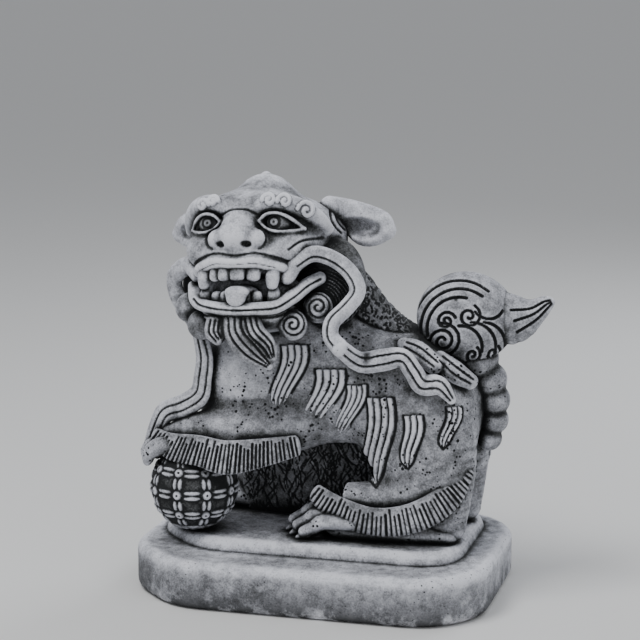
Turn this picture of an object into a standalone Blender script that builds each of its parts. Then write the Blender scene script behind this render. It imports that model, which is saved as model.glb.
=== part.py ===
"""Guardian lion (foo dog) garden statue in cast stone.

The lion stands on a stepped plinth with its head turned to the display side and
its raised forepaw on an embroidered ball. Every sculpted element is a solid of its
own that meets its neighbours along the creases of the carving.

Frame: millimetres in the dimensions below, metres in the scene. The origin is the
centre of the plinth's underside, +X runs towards the tail, -Y is the display side
and +Z is up.
"""

import math

import bmesh
import bpy
from mathutils import Matrix, Vector

MM = 0.001

# Plinth: the corners at the head end are cut deeper than those at the tail end
BASE_LENGTH = 230.0
BASE_DEPTH = 166.0
BASE_HEIGHT = 30.0
HEAD_END_CUT = 38.0
TAIL_END_CUT = 28.0
EDGE_ROUND = 6.0

# Step on the plinth, and how far it stands in from each side of the plinth
STEP_HEIGHT = 7.0
STEP_IN_DISPLAY_SIDE = 28.0
STEP_IN_FAR_SIDE = 12.0
STEP_IN_HEAD_END = 8.0
STEP_IN_TAIL_END = 17.0
STEP_TAIL_CUT = 14.0
STEP_DRAFT = 4.0
STEP_ROUND = 2.0

# Lion
FIGURE_HEIGHT = 227.0
FIGURE_PLACE = -3.0
BODY_WIDTH = 78.0
BODY_OFFSET = 8.0
HEAD_WIDTH = 96.0
HEAD_PLACE = (-32.0, -7.0, 177.0)
HEAD_LIFT = 12.0
HEAD_TURN = -9.0
HEAD_ROLL = -4.0
EYE_RADIUS = 8.0
EYE_PLACE = (22.0, -31.0, 14.0)
TOOTH_HEIGHT = 9.0
FANG_LENGTH = 13.0
RIBBON_WIDTH = 12.0
RIBBON_THICKNESS = 7.0
TAIL_RADIUS = 30.0

# Ball under the raised forepaw, placed with the lion
BALL_RADIUS = 29.0
BALL_SINK = 2.0
BALL_PLACE = (-75.0, -29.0)

# Clearance between neighbouring pieces. A cutter is swollen a little more than this,
# because its flat facets lie closer to the piece than its corners do.
GAP = 0.3
SWELL = 1.3

# The figure was drawn at this height; FIGURE_HEIGHT scales it as a whole.
DRAWN_HEIGHT = 227.0
DRAWN_HEAD_WIDTH = 96.0
DRAWN_BODY_WIDTH = 78.0

FLOOR = BASE_HEIGHT + GAP + STEP_HEIGHT
FIGURE_SCALE = FIGURE_HEIGHT / DRAWN_HEIGHT

STONE = (0.50, 0.51, 0.54, 1.0)
STONE_PALE = (0.68, 0.69, 0.72, 1.0)
STONE_DARK = (0.20, 0.21, 0.22, 1.0)


# ---------------------------------------------------------------- scene


def clear_scene():
    for obj in list(bpy.data.objects):
        bpy.data.objects.remove(obj, do_unlink=True)


def new_collection(name):
    collection = bpy.data.collections.new(name)
    bpy.context.scene.collection.children.link(collection)
    return collection


def stone(name, colour, roughness=0.85):
    material = bpy.data.materials.new(name)
    material.use_nodes = True
    shader = material.node_tree.nodes["Principled BSDF"]
    shader.inputs["Base Color"].default_value = colour
    shader.inputs["Roughness"].default_value = roughness
    shader.inputs["Metallic"].default_value = 0.0
    return material


def object_from(bm, name):
    """A mesh object made from bm, in the figure's collection, shaded smooth.

    Its bent quads are split into triangles here, so that a piece and the cutter
    copied from it have the same facets.
    """
    bmesh.ops.recalc_face_normals(bm, faces=bm.faces)
    bmesh.ops.triangulate(bm, faces=bm.faces)
    mesh = bpy.data.meshes.new(name)
    bm.to_mesh(mesh)
    bm.free()
    mesh.shade_smooth()
    obj = bpy.data.objects.new(name, mesh)
    PIECES.objects.link(obj)
    return obj


# ---------------------------------------------------------------- frames


def on_base(x, y, z):
    return Vector((x, y, z)) * MM


def in_figure(x, y, z):
    """A point of the lion: z is its height above the plinth's step, and the sideways
    distance from the lion's middle plane follows the body's width."""
    side = (y - BODY_OFFSET) * BODY_WIDTH / DRAWN_BODY_WIDTH + BODY_OFFSET
    along = x * FIGURE_SCALE + FIGURE_PLACE
    return on_base(along, side * FIGURE_SCALE, z * FIGURE_SCALE + FLOOR)


def mirrored(point):
    """The same place on the lion's other flank."""
    x, y, z = point
    return (x, 2 * BODY_OFFSET - y, z)


# The body is built from the left flank; the right is its mirror image.
SIDES = (("left", False), ("right", True))
ACROSS_BODY = (0, 1, 0)

# The head looks to the display side, so its left lies towards the tail.
HEAD_SIDES = (("left", 1), ("right", -1))
HEAD_SCALE = FIGURE_SCALE * HEAD_WIDTH / DRAWN_HEAD_WIDTH
HEAD_ROTATION = (
    Matrix.Rotation(math.radians(HEAD_TURN), 3, "Z")
    @ Matrix.Rotation(math.radians(-HEAD_LIFT), 3, "X")
    @ Matrix.Rotation(math.radians(HEAD_ROLL), 3, "Y")
)


def in_head(x, y, z):
    """A point of the head: x to its left side, y backwards and z up from its middle."""
    return in_figure(*HEAD_PLACE) + HEAD_ROTATION @ (Vector((x, y, z)) * MM * HEAD_SCALE)


# ---------------------------------------------------------------- shapes


def ellipsoid(name, centre, radii, rotation=None, segments=14, rings=9):
    """A scaled and turned sphere; the radii are in millimetres."""
    bm = bmesh.new()
    bmesh.ops.create_uvsphere(bm, u_segments=segments, v_segments=rings, radius=1.0)
    turn = rotation.to_4x4() if rotation else Matrix.Identity(4)
    place = Matrix.Translation(centre) @ turn @ Matrix.Diagonal((*[r * MM for r in radii], 1.0))
    bmesh.ops.transform(bm, matrix=place, verts=bm.verts)
    return object_from(bm, name)


def cone(name, foot, tip, radius, tip_radius=0.4, segments=10):
    """A tapered peg from foot to tip; the radii are in millimetres."""
    axis = tip - foot
    bm = bmesh.new()
    bmesh.ops.create_cone(
        bm,
        cap_ends=True,
        segments=segments,
        radius1=radius * MM,
        radius2=tip_radius * MM,
        depth=axis.length,
    )
    turn = Vector((0, 0, 1)).rotation_difference(axis).to_matrix().to_4x4()
    place = Matrix.Translation((foot + tip) / 2) @ turn
    bmesh.ops.transform(bm, matrix=place, verts=bm.verts)
    return object_from(bm, name)


def eased(values, position):
    """The Catmull-Rom curve through values, at position from 0 to len(values) - 1."""
    index = min(int(position), len(values) - 2)
    t = position - index
    before = values[max(index - 1, 0)]
    start = values[index]
    end = values[index + 1]
    after = values[min(index + 2, len(values) - 1)]
    return 0.5 * (
        2 * start
        + (end - before) * t
        + (2 * before - 5 * start + 4 * end - after) * t * t
        + (3 * start - before - 3 * end + after) * t * t * t
    )


def loft(name, stations, facing, sides=10, steps=2):
    """A limb, strand or band with oval sections that change along a smooth path.

    A station is (point, half breadth, half thickness), the halves in millimetres. The
    thickness lies along facing as nearly as the path allows, the breadth across it.
    """
    points = [point for point, _, _ in stations]
    breadths = [breadth * MM for _, breadth, _ in stations]
    depths = [depth * MM for _, _, depth in stations]
    count = (len(stations) - 1) * steps + 1
    places = [i / steps for i in range(count)]
    path = [eased(points, place) for place in places]
    facing = Vector(facing).normalized()
    bm = bmesh.new()
    rings = []
    for i, place in enumerate(places):
        tangent = (path[min(i + 1, count - 1)] - path[max(i - 1, 0)]).normalized()
        across = tangent.cross(facing).normalized()
        through = across.cross(tangent)
        breadth = max(eased(breadths, place), 0.5 * MM)
        depth = max(eased(depths, place), 0.5 * MM)
        ring = []
        for k in range(sides):
            angle = 2 * math.pi * k / sides
            offset = across * (breadth * math.cos(angle)) + through * (depth * math.sin(angle))
            ring.append(bm.verts.new(path[i] + offset))
        rings.append(ring)
    for first, second in zip(rings, rings[1:]):
        for k in range(sides):
            following = (k + 1) % sides
            bm.faces.new((first[k], first[following], second[following], second[k]))
    bm.faces.new(rings[0])
    bm.faces.new(rings[-1])
    return object_from(bm, name)


def figure_loft(name, stations, facing, sides=10, steps=2, flip=False):
    """A loft through points of the lion, or through their mirror places."""
    placed = []
    for point, breadth, depth in stations:
        place = mirrored(point) if flip else point
        placed.append((in_figure(*place), breadth * FIGURE_SCALE, depth * FIGURE_SCALE))
    return loft(name, placed, facing, sides, steps)


def figure_blob(name, centre, radii, segments=10, rings=7):
    """An ellipsoid of the lion's body."""
    sizes = [radius * FIGURE_SCALE for radius in radii]
    return ellipsoid(name, in_figure(*centre), sizes, None, segments, rings)


def head_blob(name, centre, radii, segments=10, rings=7):
    """An ellipsoid of the head, turned with it."""
    sizes = [radius * HEAD_SCALE for radius in radii]
    return ellipsoid(name, in_head(*centre), sizes, HEAD_ROTATION, segments, rings)


def head_loft(name, stations, facing, sides=10, steps=2):
    """A loft through points of the head, its facing turned with the head."""
    placed = [(in_head(*point), a * HEAD_SCALE, b * HEAD_SCALE) for point, a, b in stations]
    return loft(name, placed, HEAD_ROTATION @ Vector(facing), sides, steps)


def slab(name, corners, low, high, draft=0.0, rounding=0.0):
    """A flat block with the given outline, its top drawn in by draft, edges rounded."""
    centre = sum((Vector(corner) for corner in corners), Vector((0, 0))) / len(corners)
    bm = bmesh.new()
    levels = []
    for height, inset in ((low, 0.0), (high, draft)):
        level = []
        for corner in corners:
            out = Vector(corner) - centre
            x, y = centre + out * (1 - inset / out.length)
            level.append(bm.verts.new(on_base(x, y, height)))
        levels.append(level)
    count = len(corners)
    for k in range(count):
        following = (k + 1) % count
        bm.faces.new((levels[0][k], levels[0][following], levels[1][following], levels[1][k]))
    bm.faces.new(levels[0])
    bm.faces.new(levels[1])
    obj = object_from(bm, name)
    if rounding:
        bevel = obj.modifiers.new("rounded edges", "BEVEL")
        bevel.width = rounding * MM
        bevel.segments = 2
        bevel.limit_method = "ANGLE"
        bevel.angle_limit = math.radians(30)
    return obj


def cut_rectangle(head_x, tail_x, near_y, far_y, head_cut, tail_cut):
    """The outline of a rectangle with its four corners cut off, anticlockwise."""
    return [
        (head_x + head_cut, near_y),
        (tail_x - tail_cut, near_y),
        (tail_x, near_y + tail_cut),
        (tail_x, far_y - tail_cut),
        (tail_x - tail_cut, far_y),
        (head_x + head_cut, far_y),
        (head_x, far_y - head_cut),
        (head_x, near_y + head_cut),
    ]


# ---------------------------------------------------------------- joining and cutting


def bake(obj):
    """Replaces the object's mesh with the one that its modifiers give."""
    bpy.context.view_layer.update()
    graph = bpy.context.evaluated_depsgraph_get()
    mesh = bpy.data.meshes.new_from_object(obj.evaluated_get(graph), depsgraph=graph)
    obj.modifiers.clear()
    obj.data = mesh


def boolean(obj, other, operation):
    modifier = obj.modifiers.new(operation.lower(), "BOOLEAN")
    modifier.operation = operation
    modifier.object = other
    modifier.solver = "EXACT"
    bake(obj)


def fuse(name, parts):
    """One body made from overlapping shapes."""
    body = parts[0]
    for part in parts[1:]:
        boolean(body, part, "UNION")
        bpy.data.objects.remove(part, do_unlink=True)
    body.name = name
    body.data.name = name
    return body


def box_of(obj):
    points = [vertex.co for vertex in obj.data.vertices]
    low = Vector(min(point[k] for point in points) for k in range(3))
    high = Vector(max(point[k] for point in points) for k in range(3))
    return low, high


def boxes_meet(first, second):
    (low_a, high_a), (low_b, high_b) = box_of(first), box_of(second)
    reach = 2 * GAP * MM
    return all(low_a[k] - reach < high_b[k] and low_b[k] - reach < high_a[k] for k in range(3))


def keep_largest_body(obj):
    """Drops the loose crumbs that a cut leaves beside the main body."""
    bm = bmesh.new()
    bm.from_mesh(obj.data)
    unseen = set(bm.verts)
    islands = []
    while unseen:
        queue = [unseen.pop()]
        island = set(queue)
        while queue:
            for edge in queue.pop().link_edges:
                for vertex in edge.verts:
                    if vertex in unseen:
                        unseen.remove(vertex)
                        island.add(vertex)
                        queue.append(vertex)
        islands.append(island)
    largest = max(islands, key=lambda island: (span_of(island), len(island)))
    crumbs = [vertex for vertex in bm.verts if vertex not in largest]
    bmesh.ops.delete(bm, geom=crumbs, context="VERTS")
    bm.to_mesh(obj.data)
    bm.free()


def span_of(vertices):
    size = [
        max(vertex.co[k] for vertex in vertices) - min(vertex.co[k] for vertex in vertices)
        for k in range(3)
    ]
    return round(size[0] * size[1] * size[2] / MM**3, 3)


def swollen_copy(piece):
    """A cutter: the piece's whole shape, larger all round by the clearance."""
    cutter = piece.copy()
    cutter.data = piece.data.copy()
    cutter.name = "cutter_" + piece.name
    CUTTERS.objects.link(cutter)
    cutter.hide_render = True
    cutter.display_type = "WIRE"
    swell = cutter.modifiers.new("clearance", "DISPLACE")
    swell.strength = SWELL * GAP * MM
    swell.mid_level = 0.0
    bake(cutter)
    return cutter


def fit_together(order):
    """Each piece gives way, with the clearance, to every piece named before it."""
    cutters = [swollen_copy(piece) for piece in order]
    for index, host in enumerate(order):
        for cutter in cutters[:index]:
            if boxes_meet(host, cutter):
                boolean(host, cutter, "DIFFERENCE")
        keep_largest_body(host)


# ---------------------------------------------------------------- the plinth


def make_plinth():
    half_length = BASE_LENGTH / 2
    half_depth = BASE_DEPTH / 2
    outline = cut_rectangle(
        -half_length, half_length, -half_depth, half_depth, HEAD_END_CUT, TAIL_END_CUT
    )
    plinth = slab("plinth", outline, 0.0, BASE_HEIGHT, 0.0, EDGE_ROUND)
    inner = cut_rectangle(
        STEP_IN_HEAD_END - half_length,
        half_length - STEP_IN_TAIL_END,
        STEP_IN_DISPLAY_SIDE - half_depth,
        half_depth - STEP_IN_FAR_SIDE,
        HEAD_END_CUT,
        STEP_TAIL_CUT,
    )
    step = slab("plinth_step", inner, BASE_HEIGHT + GAP, FLOOR, STEP_DRAFT, STEP_ROUND)
    for piece in (plinth, step):
        bake(piece)
    return [step, plinth]


# ---------------------------------------------------------------- the ball


def over_ball(x, y, z):
    """A point z above the ball's top."""
    ball_top = (2 * BALL_RADIUS - BALL_SINK) / FIGURE_SCALE
    return (x, y, ball_top + z)


def make_ball():
    centre = in_figure(*over_ball(*BALL_PLACE, -BALL_RADIUS / FIGURE_SCALE))
    return ellipsoid("ball", centre, (BALL_RADIUS,) * 3, segments=18, rings=12)


# ---------------------------------------------------------------- trunk


def make_torso():
    half = BODY_WIDTH / 2
    lumps = (
        ("chest", (-36, 0, 91), (46, half - 2, 49)),
        ("neck", (-26, 2, 138), (34, half - 8, 38)),
        ("shoulder", (-2, BODY_OFFSET - 4, 112), (38, half - 2, 38)),
        ("flank_left", (24, BODY_OFFSET - half / 3, 98), (58, half * 2 / 3, 34)),
        ("flank_right", (24, BODY_OFFSET + half / 3, 98), (58, half * 2 / 3, 34)),
        ("rump", (70, BODY_OFFSET, 80), (36, half - 2, 48)),
    )
    parts = [figure_blob(name, centre, radii, 12, 8) for name, centre, radii in lumps]
    return fuse("torso", parts)


def make_belly_web():
    """The wall of hanging hair that joins the belly to the plinth."""
    stations = [
        ((-49, 21, 37), 38, 7),
        ((-31, 21, 37), 40, 9),
        ((10, 21, 37), 41, 9),
        ((52, 21, 37), 41, 9),
        ((68, 21, 37), 38, 7),
    ]
    return figure_loft("belly_web", stations, ACROSS_BODY, steps=1)


# ---------------------------------------------------------------- legs


def make_front_left():
    """The raised leg: the forearm, paw and frill lie over the ball."""
    leg = [
        (over_ball(6, -14, 14), 9, 9),
        (over_ball(-8, -21, 12), 15, 13),
        (over_ball(-27, -29, 8), 16, 14),
        (over_ball(-49, -34, 4), 14, 12),
        (over_ball(-74, -34, 4), 10, 9),
        (over_ball(-87, -34, 2), 6, 6),
    ]
    paw = [
        (over_ball(-76, -35, 0), 8, 9),
        (over_ball(-84, -36, -1), 9, 13),
        (over_ball(-95, -36, -3), 8, 13),
        (over_ball(-102, -35, -8), 5, 9),
    ]
    frill = [
        (over_ball(-93, -41, 4), 5, 2.5),
        (over_ball(-80, -48, 0), 9, 3),
        (over_ball(-62, -52, -1), 10, 3.5),
        (over_ball(-41, -52, -3), 11, 3.5),
        (over_ball(-23, -45, -2), 10, 3.5),
        (over_ball(-8, -35, 2), 7, 3),
    ]
    return [
        figure_loft("front_paw_left", paw, ACROSS_BODY),
        figure_loft("front_frill_left", frill, ACROSS_BODY),
        figure_loft("front_leg_left", leg, ACROSS_BODY),
    ]


def make_front_right():
    """The standing leg behind the ball."""
    leg = [
        ((-37, 27, 87), 18, 11),
        ((-45, 32, 64), 18, 13),
        ((-52, 33, 39), 13, 12),
        ((-56, 33, 14), 12, 12),
    ]
    paw = [
        ((-45, 33, 6), 8, 9),
        ((-58, 33, 9), 11, 13),
        ((-72, 33, 9), 10, 14),
        ((-82, 33, 6), 6, 10),
    ]
    frill = [
        ((-66, 37, 43), 6, 2.5),
        ((-62, 45, 36), 9, 3),
        ((-47, 48, 31), 9, 3),
        ((-33, 44, 35), 7, 2.5),
    ]
    return [
        figure_loft("front_paw_right", paw, ACROSS_BODY),
        figure_loft("front_frill_right", frill, ACROSS_BODY),
        figure_loft("front_leg_right", leg, ACROSS_BODY),
    ]


def make_hind(side, flip):
    leg = [
        ((66, -6, 109), 16, 10),
        ((69, -12, 89), 32, 21),
        ((72, -14, 64), 35, 23),
        ((76, -14, 39), 30, 21),
        ((80, -15, 21), 23, 16),
        ((82, -15, 8), 16, 11),
    ]
    paw = [
        ((78, -18, 7), 7, 9),
        ((45, -21, 9), 10, 12),
        ((14, -23, 12), 12, 15),
        ((-2, -24, 8), 9, 13),
        ((-10, -24, 4), 4, 8),
    ]
    frill = [
        ((12, -27, 31), 5, 2.5),
        ((25, -34, 21), 9, 3),
        ((47, -38, 16), 9, 3.5),
        ((70, -36, 19), 9, 3.5),
        ((89, -29, 29), 8, 3.5),
        ((101, -18, 43), 5, 2.5),
    ]
    return [
        figure_loft("hind_paw_" + side, paw, ACROSS_BODY, flip=flip),
        figure_loft("hind_frill_" + side, frill, ACROSS_BODY, flip=flip),
        figure_loft("hind_leg_" + side, leg, ACROSS_BODY, sides=12, flip=flip),
    ]


# ---------------------------------------------------------------- mane


def make_mane(side, flip):
    """Five wavy bundles of hair that hang down the flank, front to back."""
    bundles = (
        [((4, -29, 132), 7, 3.5), ((0, -31, 115), 9, 4), ((-6, -30, 93), 6, 3)],
        [((27, -25, 122), 8, 3.5), ((21, -28, 103), 10, 4), ((10, -27, 78), 6, 3)],
        [((43, -26, 115), 8, 3.5), ((39, -29, 97), 9, 4), ((31, -27, 74), 5, 3)],
        [((60, -31, 107), 9, 3.5), ((58, -37, 78), 10, 4), ((56, -38, 43), 4, 3)],
        [((82, -31, 95), 9, 3.5), ((80, -37, 74), 9, 4), ((78, -38, 54), 6, 3)],
    )
    return [
        figure_loft("mane_lock_%s_%d" % (side, number), stations, ACROSS_BODY, 8, 2, flip)
        for number, stations in enumerate(bundles, start=1)
    ]


def make_back_mane():
    """The ridge of stippled hair down the nape and along the back."""
    stations = [
        ((-2, 14, 171), 12, 12),
        ((16, 13, 157), 21, 11),
        ((35, 11, 137), 20, 9),
        ((54, 9, 126), 15, 6),
        ((70, 8, 124), 9, 5),
    ]
    return figure_loft("back_mane", stations, (0, 0, 1))


# ---------------------------------------------------------------- tail

TAIL_CENTRE = (93, 5, 138)


def by_tail(x, y, z):
    """A point beside the tail's curl, in steps of the curl's radius."""
    reach = TAIL_RADIUS / FIGURE_SCALE
    return tuple(middle + part * reach for middle, part in zip(TAIL_CENTRE, (x, y, z)))


def make_tail():
    radii = [part * TAIL_RADIUS for part in (1.06, 0.82, 0.98)]
    curl = ellipsoid("tail_curl", in_figure(*TAIL_CENTRE), radii, segments=16, rings=10)
    width = TAIL_RADIUS / FIGURE_SCALE
    tip = [
        (by_tail(0.45, 0, 0.15), 0.50 * width, 0.45 * width),
        (by_tail(0.95, 0, 0.00), 0.52 * width, 0.42 * width),
        (by_tail(1.35, 0, 0.14), 0.30 * width, 0.28 * width),
        (by_tail(1.62, 0, 0.34), 0.19 * width, 0.20 * width),
        (by_tail(1.74, 0, 0.40), 0.08 * width, 0.09 * width),
    ]
    stem = [
        ((107, 14, 64), 7, 8),
        ((110, 14, 80), 9, 10),
        ((106, 12, 99), 10, 11),
        ((97, 8, 115), 13, 12),
    ]
    return [
        curl,
        figure_loft("tail_tip", tip, ACROSS_BODY),
        figure_loft("tail_stem", stem, ACROSS_BODY),
    ]


# ---------------------------------------------------------------- head


def beside(out, place):
    """A place on the head's left side, or on its right where out is -1."""
    return (place[0] * out, place[1], place[2])


def make_eyes():
    sizes = (EYE_RADIUS,) * 3
    return [
        ellipsoid("eye_" + side, in_head(*beside(out, EYE_PLACE)), sizes, segments=10, rings=7)
        for side, out in HEAD_SIDES
    ]


def tooth_row(name, z, half_width, front):
    """A row of incisors as one curved bar across the front of the mouth."""
    stations = [
        ((-half_width, front + 4, z), TOOTH_HEIGHT / 2, 2.5),
        ((-half_width / 2, front + 1, z), TOOTH_HEIGHT / 2, 2.5),
        ((half_width / 2, front + 1, z), TOOTH_HEIGHT / 2, 2.5),
        ((half_width, front + 4, z), TOOTH_HEIGHT / 2, 2.5),
    ]
    return head_loft(name, stations, (0, 1, 0), sides=8)


def make_mouth():
    pieces = [
        tooth_row("upper_teeth", -18, 17, -46),
        tooth_row("lower_teeth", -34, 16, -45),
    ]
    fang_radii = (5 * HEAD_SCALE, 2 * HEAD_SCALE)
    for side, out in HEAD_SIDES:
        upper_foot = in_head(22 * out, -40, -14)
        upper_tip = in_head(22 * out, -42, -14 - FANG_LENGTH)
        pieces.append(cone("upper_fang_" + side, upper_foot, upper_tip, *fang_radii, 8))
    for side, out in HEAD_SIDES:
        lower_foot = in_head(27 * out, -32, -38)
        lower_tip = in_head(27 * out, -34, -38 + FANG_LENGTH)
        pieces.append(cone("lower_fang_" + side, lower_foot, lower_tip, *fang_radii, 8))
    tongue = [
        ((0, -20, -27), 8, 4),
        ((0, -34, -26), 9, 4),
        ((0, -46, -27), 8, 3.5),
        ((0, -51, -34), 4, 2),
    ]
    pieces.append(head_loft("tongue", tongue, (0, 0, 1), sides=8))
    return pieces


def make_face():
    pieces = [head_blob("nose", (0, -42, 6), (15, 12, 9))]
    over_eye = EYE_PLACE[2] + EYE_RADIUS / HEAD_SCALE
    for side, out in HEAD_SIDES:
        brow = [
            ((8 * out, -38, over_eye + 1), 5, 4),
            ((22 * out, -34, over_eye + 4), 6, 5),
            ((37 * out, -24, over_eye), 6, 4),
            ((44 * out, -16, over_eye - 7), 4, 3),
        ]
        pieces.append(head_loft("brow_" + side, brow, (0, 1, -0.4), sides=8))
    for side, out in HEAD_SIDES:
        ear = [
            ((38 * out, 14, 26), 9, 6),
            ((52 * out, 18, 25), 11, 7),
            ((64 * out, 20, 17), 10, 7),
            ((73 * out, 20, 13), 6, 5),
        ]
        pieces.append(head_loft("ear_" + side, ear, (0, 1, 0.2)))
    knob = cone("crown_knob", in_head(0, -4, 33), in_head(0, -6, 50), 17 * HEAD_SCALE, 4, 12)
    return pieces + [knob]


def make_head():
    skull = head_blob("skull", (0, 6, 8), (HEAD_WIDTH / 2, 42, 31), 14, 9)
    face = head_blob("face", (0, -14, 2), (41, 33, 22), 12, 8)
    muzzle = head_blob("muzzle", (0, -24, -6), (33, 27, 14), 12, 8)
    return fuse("head", [skull, face, muzzle])


def make_jaw():
    jaw = head_blob("lower_jaw", (0, -20, -42), (35, 29, 11), 14, 7)
    beard = [
        ((0, -36, -48), 22, 6),
        ((4, -40, -60), 16, 6),
        ((12, -38, -70), 9, 5),
        ((19, -34, -80), 3, 3),
    ]
    pieces = [head_loft("beard", beard, (0, 1, 0), sides=8)]
    for side, out in HEAD_SIDES:
        pieces.append(head_blob("jaw_curl_" + side, (33 * out, -24, -46), (14, 9, 15)))
    for side, out in HEAD_SIDES:
        pieces.append(head_blob("cheek_hair_" + side, (48 * out, -4, -20), (20, 18, 27)))
    return [jaw] + pieces


# ---------------------------------------------------------------- ribbons


def ribbon(name, points, facing, ends=(0.7, 0.7)):
    """A flat silk band through the points, narrowed at both ends."""
    breadth = RIBBON_WIDTH / 2 / FIGURE_SCALE
    depth = RIBBON_THICKNESS / 2 / FIGURE_SCALE
    stations = []
    for index, point in enumerate(points):
        share = {0: ends[0], len(points) - 1: ends[1]}.get(index, 1.0)
        stations.append((point, breadth * share, depth * share))
    return figure_loft(name, stations, facing, sides=8)


def led_by_head(points):
    """Points of a loop: its start moves with the mouth's corner, its end stays put."""
    placed = []
    for index, point in enumerate(points):
        share = 1 - index / (len(points) - 1)
        growth = (HEAD_WIDTH / DRAWN_HEAD_WIDTH - 1) * share
        placed.append(tuple(a + (a - b) * growth for a, b in zip(point, HEAD_PLACE)))
    return placed


def make_ribbons():
    left_loop = [
        (-4, -46, 163),
        (5, -41, 176),
        (18, -36, 180),
        (30, -32, 173),
        (35, -31, 159),
        (29, -33, 146),
        (21, -37, 135),
    ]
    left_tail = [
        (19, -37, 126),
        (26, -36, 118),
        (41, -35, 116),
        (59, -35, 119),
        (68, -36, 111),
        (74, -37, 103),
        (84, -36, 104),
        (90, -34, 95),
    ]
    right_loop = [
        (-70, -34, 165),
        (-79, -24, 168),
        (-90, -18, 160),
        (-89, -18, 148),
        (-80, -22, 137),
        (-75, -26, 124),
    ]
    right_tail = [
        (-76, -27, 113),
        (-78, -29, 96),
        (-81, -32, 84),
        (-92, -33, 80),
        (-101, -33, 68),
        (-105, -32, 50),
    ]
    return [
        ribbon("ribbon_left_loop", led_by_head(left_loop), ACROSS_BODY, (1.0, 0.8)),
        ribbon("ribbon_left_tail", left_tail, ACROSS_BODY, (0.8, 0.4)),
        ribbon("ribbon_right_loop", led_by_head(right_loop), (0.4, 1, 0), (1.0, 0.8)),
        ribbon("ribbon_right_tail", right_tail, (0.4, 1, 0), (0.8, 0.5)),
        figure_blob("rump_fold_front", (70, -21, 119), (12, 11, 9)),
        figure_blob("rump_fold_rear", by_tail(-0.03, -0.68, -0.93), (11, 10, 8)),
    ]


# ---------------------------------------------------------------- assembly


def paint(pieces):
    weathered = stone("cast stone", STONE)
    worn = stone("cast stone, worn pale", STONE_PALE)
    washed = stone("cast stone, dark wash", STONE_DARK)
    pale = ("plinth", "plinth_step", "nose", "ribbon", "ear", "crown", "tooth", "fang")
    dark = ("belly_web", "back_mane", "cheek_hair")
    for piece in pieces:
        material = weathered
        if piece.name.startswith(pale):
            material = worn
        if piece.name.startswith(dark):
            material = washed
        piece.data.materials.clear()
        piece.data.materials.append(material)


def build():
    base = make_plinth()
    mouth = make_mouth()
    face = make_eyes() + make_face()
    ribbons = make_ribbons()
    front = make_front_left() + make_front_right()
    hind = []
    mane = []
    for side, flip in SIDES:
        hind += make_hind(side, flip)
        mane += make_mane(side, flip)
    jaw = make_jaw()
    trunk = [make_head(), make_back_mane(), make_torso(), make_belly_web()]
    order = base + mouth + face + ribbons + [make_ball()] + make_tail()
    order += front + mane + hind + jaw + trunk
    fit_together(order)
    paint(order)


clear_scene()
PIECES = new_collection("guardian lion statue")
CUTTERS = new_collection("cutters")
build()
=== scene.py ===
"""Looks of the guardian lion statue: every sculpted element is modelled in a volume of
signed distances, meshed, and then carved with the strands, spirals and creases of the
casting. Lengths are in millimetres until a mesh is made."""

import math

import bpy
import numpy as np
import openvdb
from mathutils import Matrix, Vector


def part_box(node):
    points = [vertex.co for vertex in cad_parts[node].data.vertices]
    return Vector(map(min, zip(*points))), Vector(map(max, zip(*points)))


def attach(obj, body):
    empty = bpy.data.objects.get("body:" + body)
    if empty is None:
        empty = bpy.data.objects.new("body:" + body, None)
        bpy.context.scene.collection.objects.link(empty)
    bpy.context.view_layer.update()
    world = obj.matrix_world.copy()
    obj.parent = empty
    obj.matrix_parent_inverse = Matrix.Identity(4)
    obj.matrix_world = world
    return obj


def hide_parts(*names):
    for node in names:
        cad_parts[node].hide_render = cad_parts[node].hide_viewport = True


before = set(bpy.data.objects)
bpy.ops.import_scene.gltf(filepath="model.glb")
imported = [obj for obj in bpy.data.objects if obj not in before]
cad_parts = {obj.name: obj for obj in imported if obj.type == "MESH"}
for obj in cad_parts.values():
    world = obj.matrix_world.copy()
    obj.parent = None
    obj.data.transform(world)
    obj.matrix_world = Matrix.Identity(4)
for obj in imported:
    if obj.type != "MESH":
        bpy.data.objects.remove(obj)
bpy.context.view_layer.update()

MM = 0.001
FAR = 60.0
STEP = 0.8
KEPT_SHARE = 0.40
FINE = 0.75
AO_STEP = 1.6
SIDES = (("left", 1), ("right", -1))

# ---- places


def corners(node):
    low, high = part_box(node)
    return np.array(low) / MM, np.array(high) / MM


def middle(node):
    low, high = corners(node)
    return (low + high) / 2


STEP_TOP = corners("plinth_step")[1][2]
BALL_RADIUS = (corners("ball")[1][0] - corners("ball")[0][0]) / 2
BALL = np.array([middle("ball")[0], middle("ball")[1], corners("ball")[1][2] - BALL_RADIUS])

# The lion's own coordinates: x towards the tail, z above the plinth's step.
ORIGIN = np.array([BALL[0] + 75.0, BALL[1] + 29.0, STEP_TOP])
MIDDLE_Y = 8.0


def turned(x_degrees, y_degrees, z_degrees):
    """The matrix of a turn about y, then x, then z."""
    matrix = np.eye(3)
    for axis, degrees in ((1, y_degrees), (0, x_degrees), (2, z_degrees)):
        a, b = [k for k in range(3) if k != axis]
        c, s = math.cos(math.radians(degrees)), math.sin(math.radians(degrees))
        s = -s if axis == 1 else s
        turn = np.eye(3)
        turn[a, a], turn[a, b], turn[b, a], turn[b, b] = c, -s, s, c
        matrix = turn @ matrix
    return matrix


HEAD_TURN = turned(-12.0, -4.0, -9.0)
EYES = (middle("eye_left") + middle("eye_right")) / 2 - ORIGIN
HEAD = EYES - HEAD_TURN @ np.array([0.0, -31.0, 14.0])


def head(x, y, z):
    """A place on the head: x to its left, y backwards, z up from its middle."""
    return HEAD + HEAD_TURN @ np.array([x, y, z], float)


def flip(point):
    """The same place on the lion's other flank."""
    x, y, z = point
    return np.array([x, 2 * MIDDLE_Y - y, z])


# ---- clay


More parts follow.
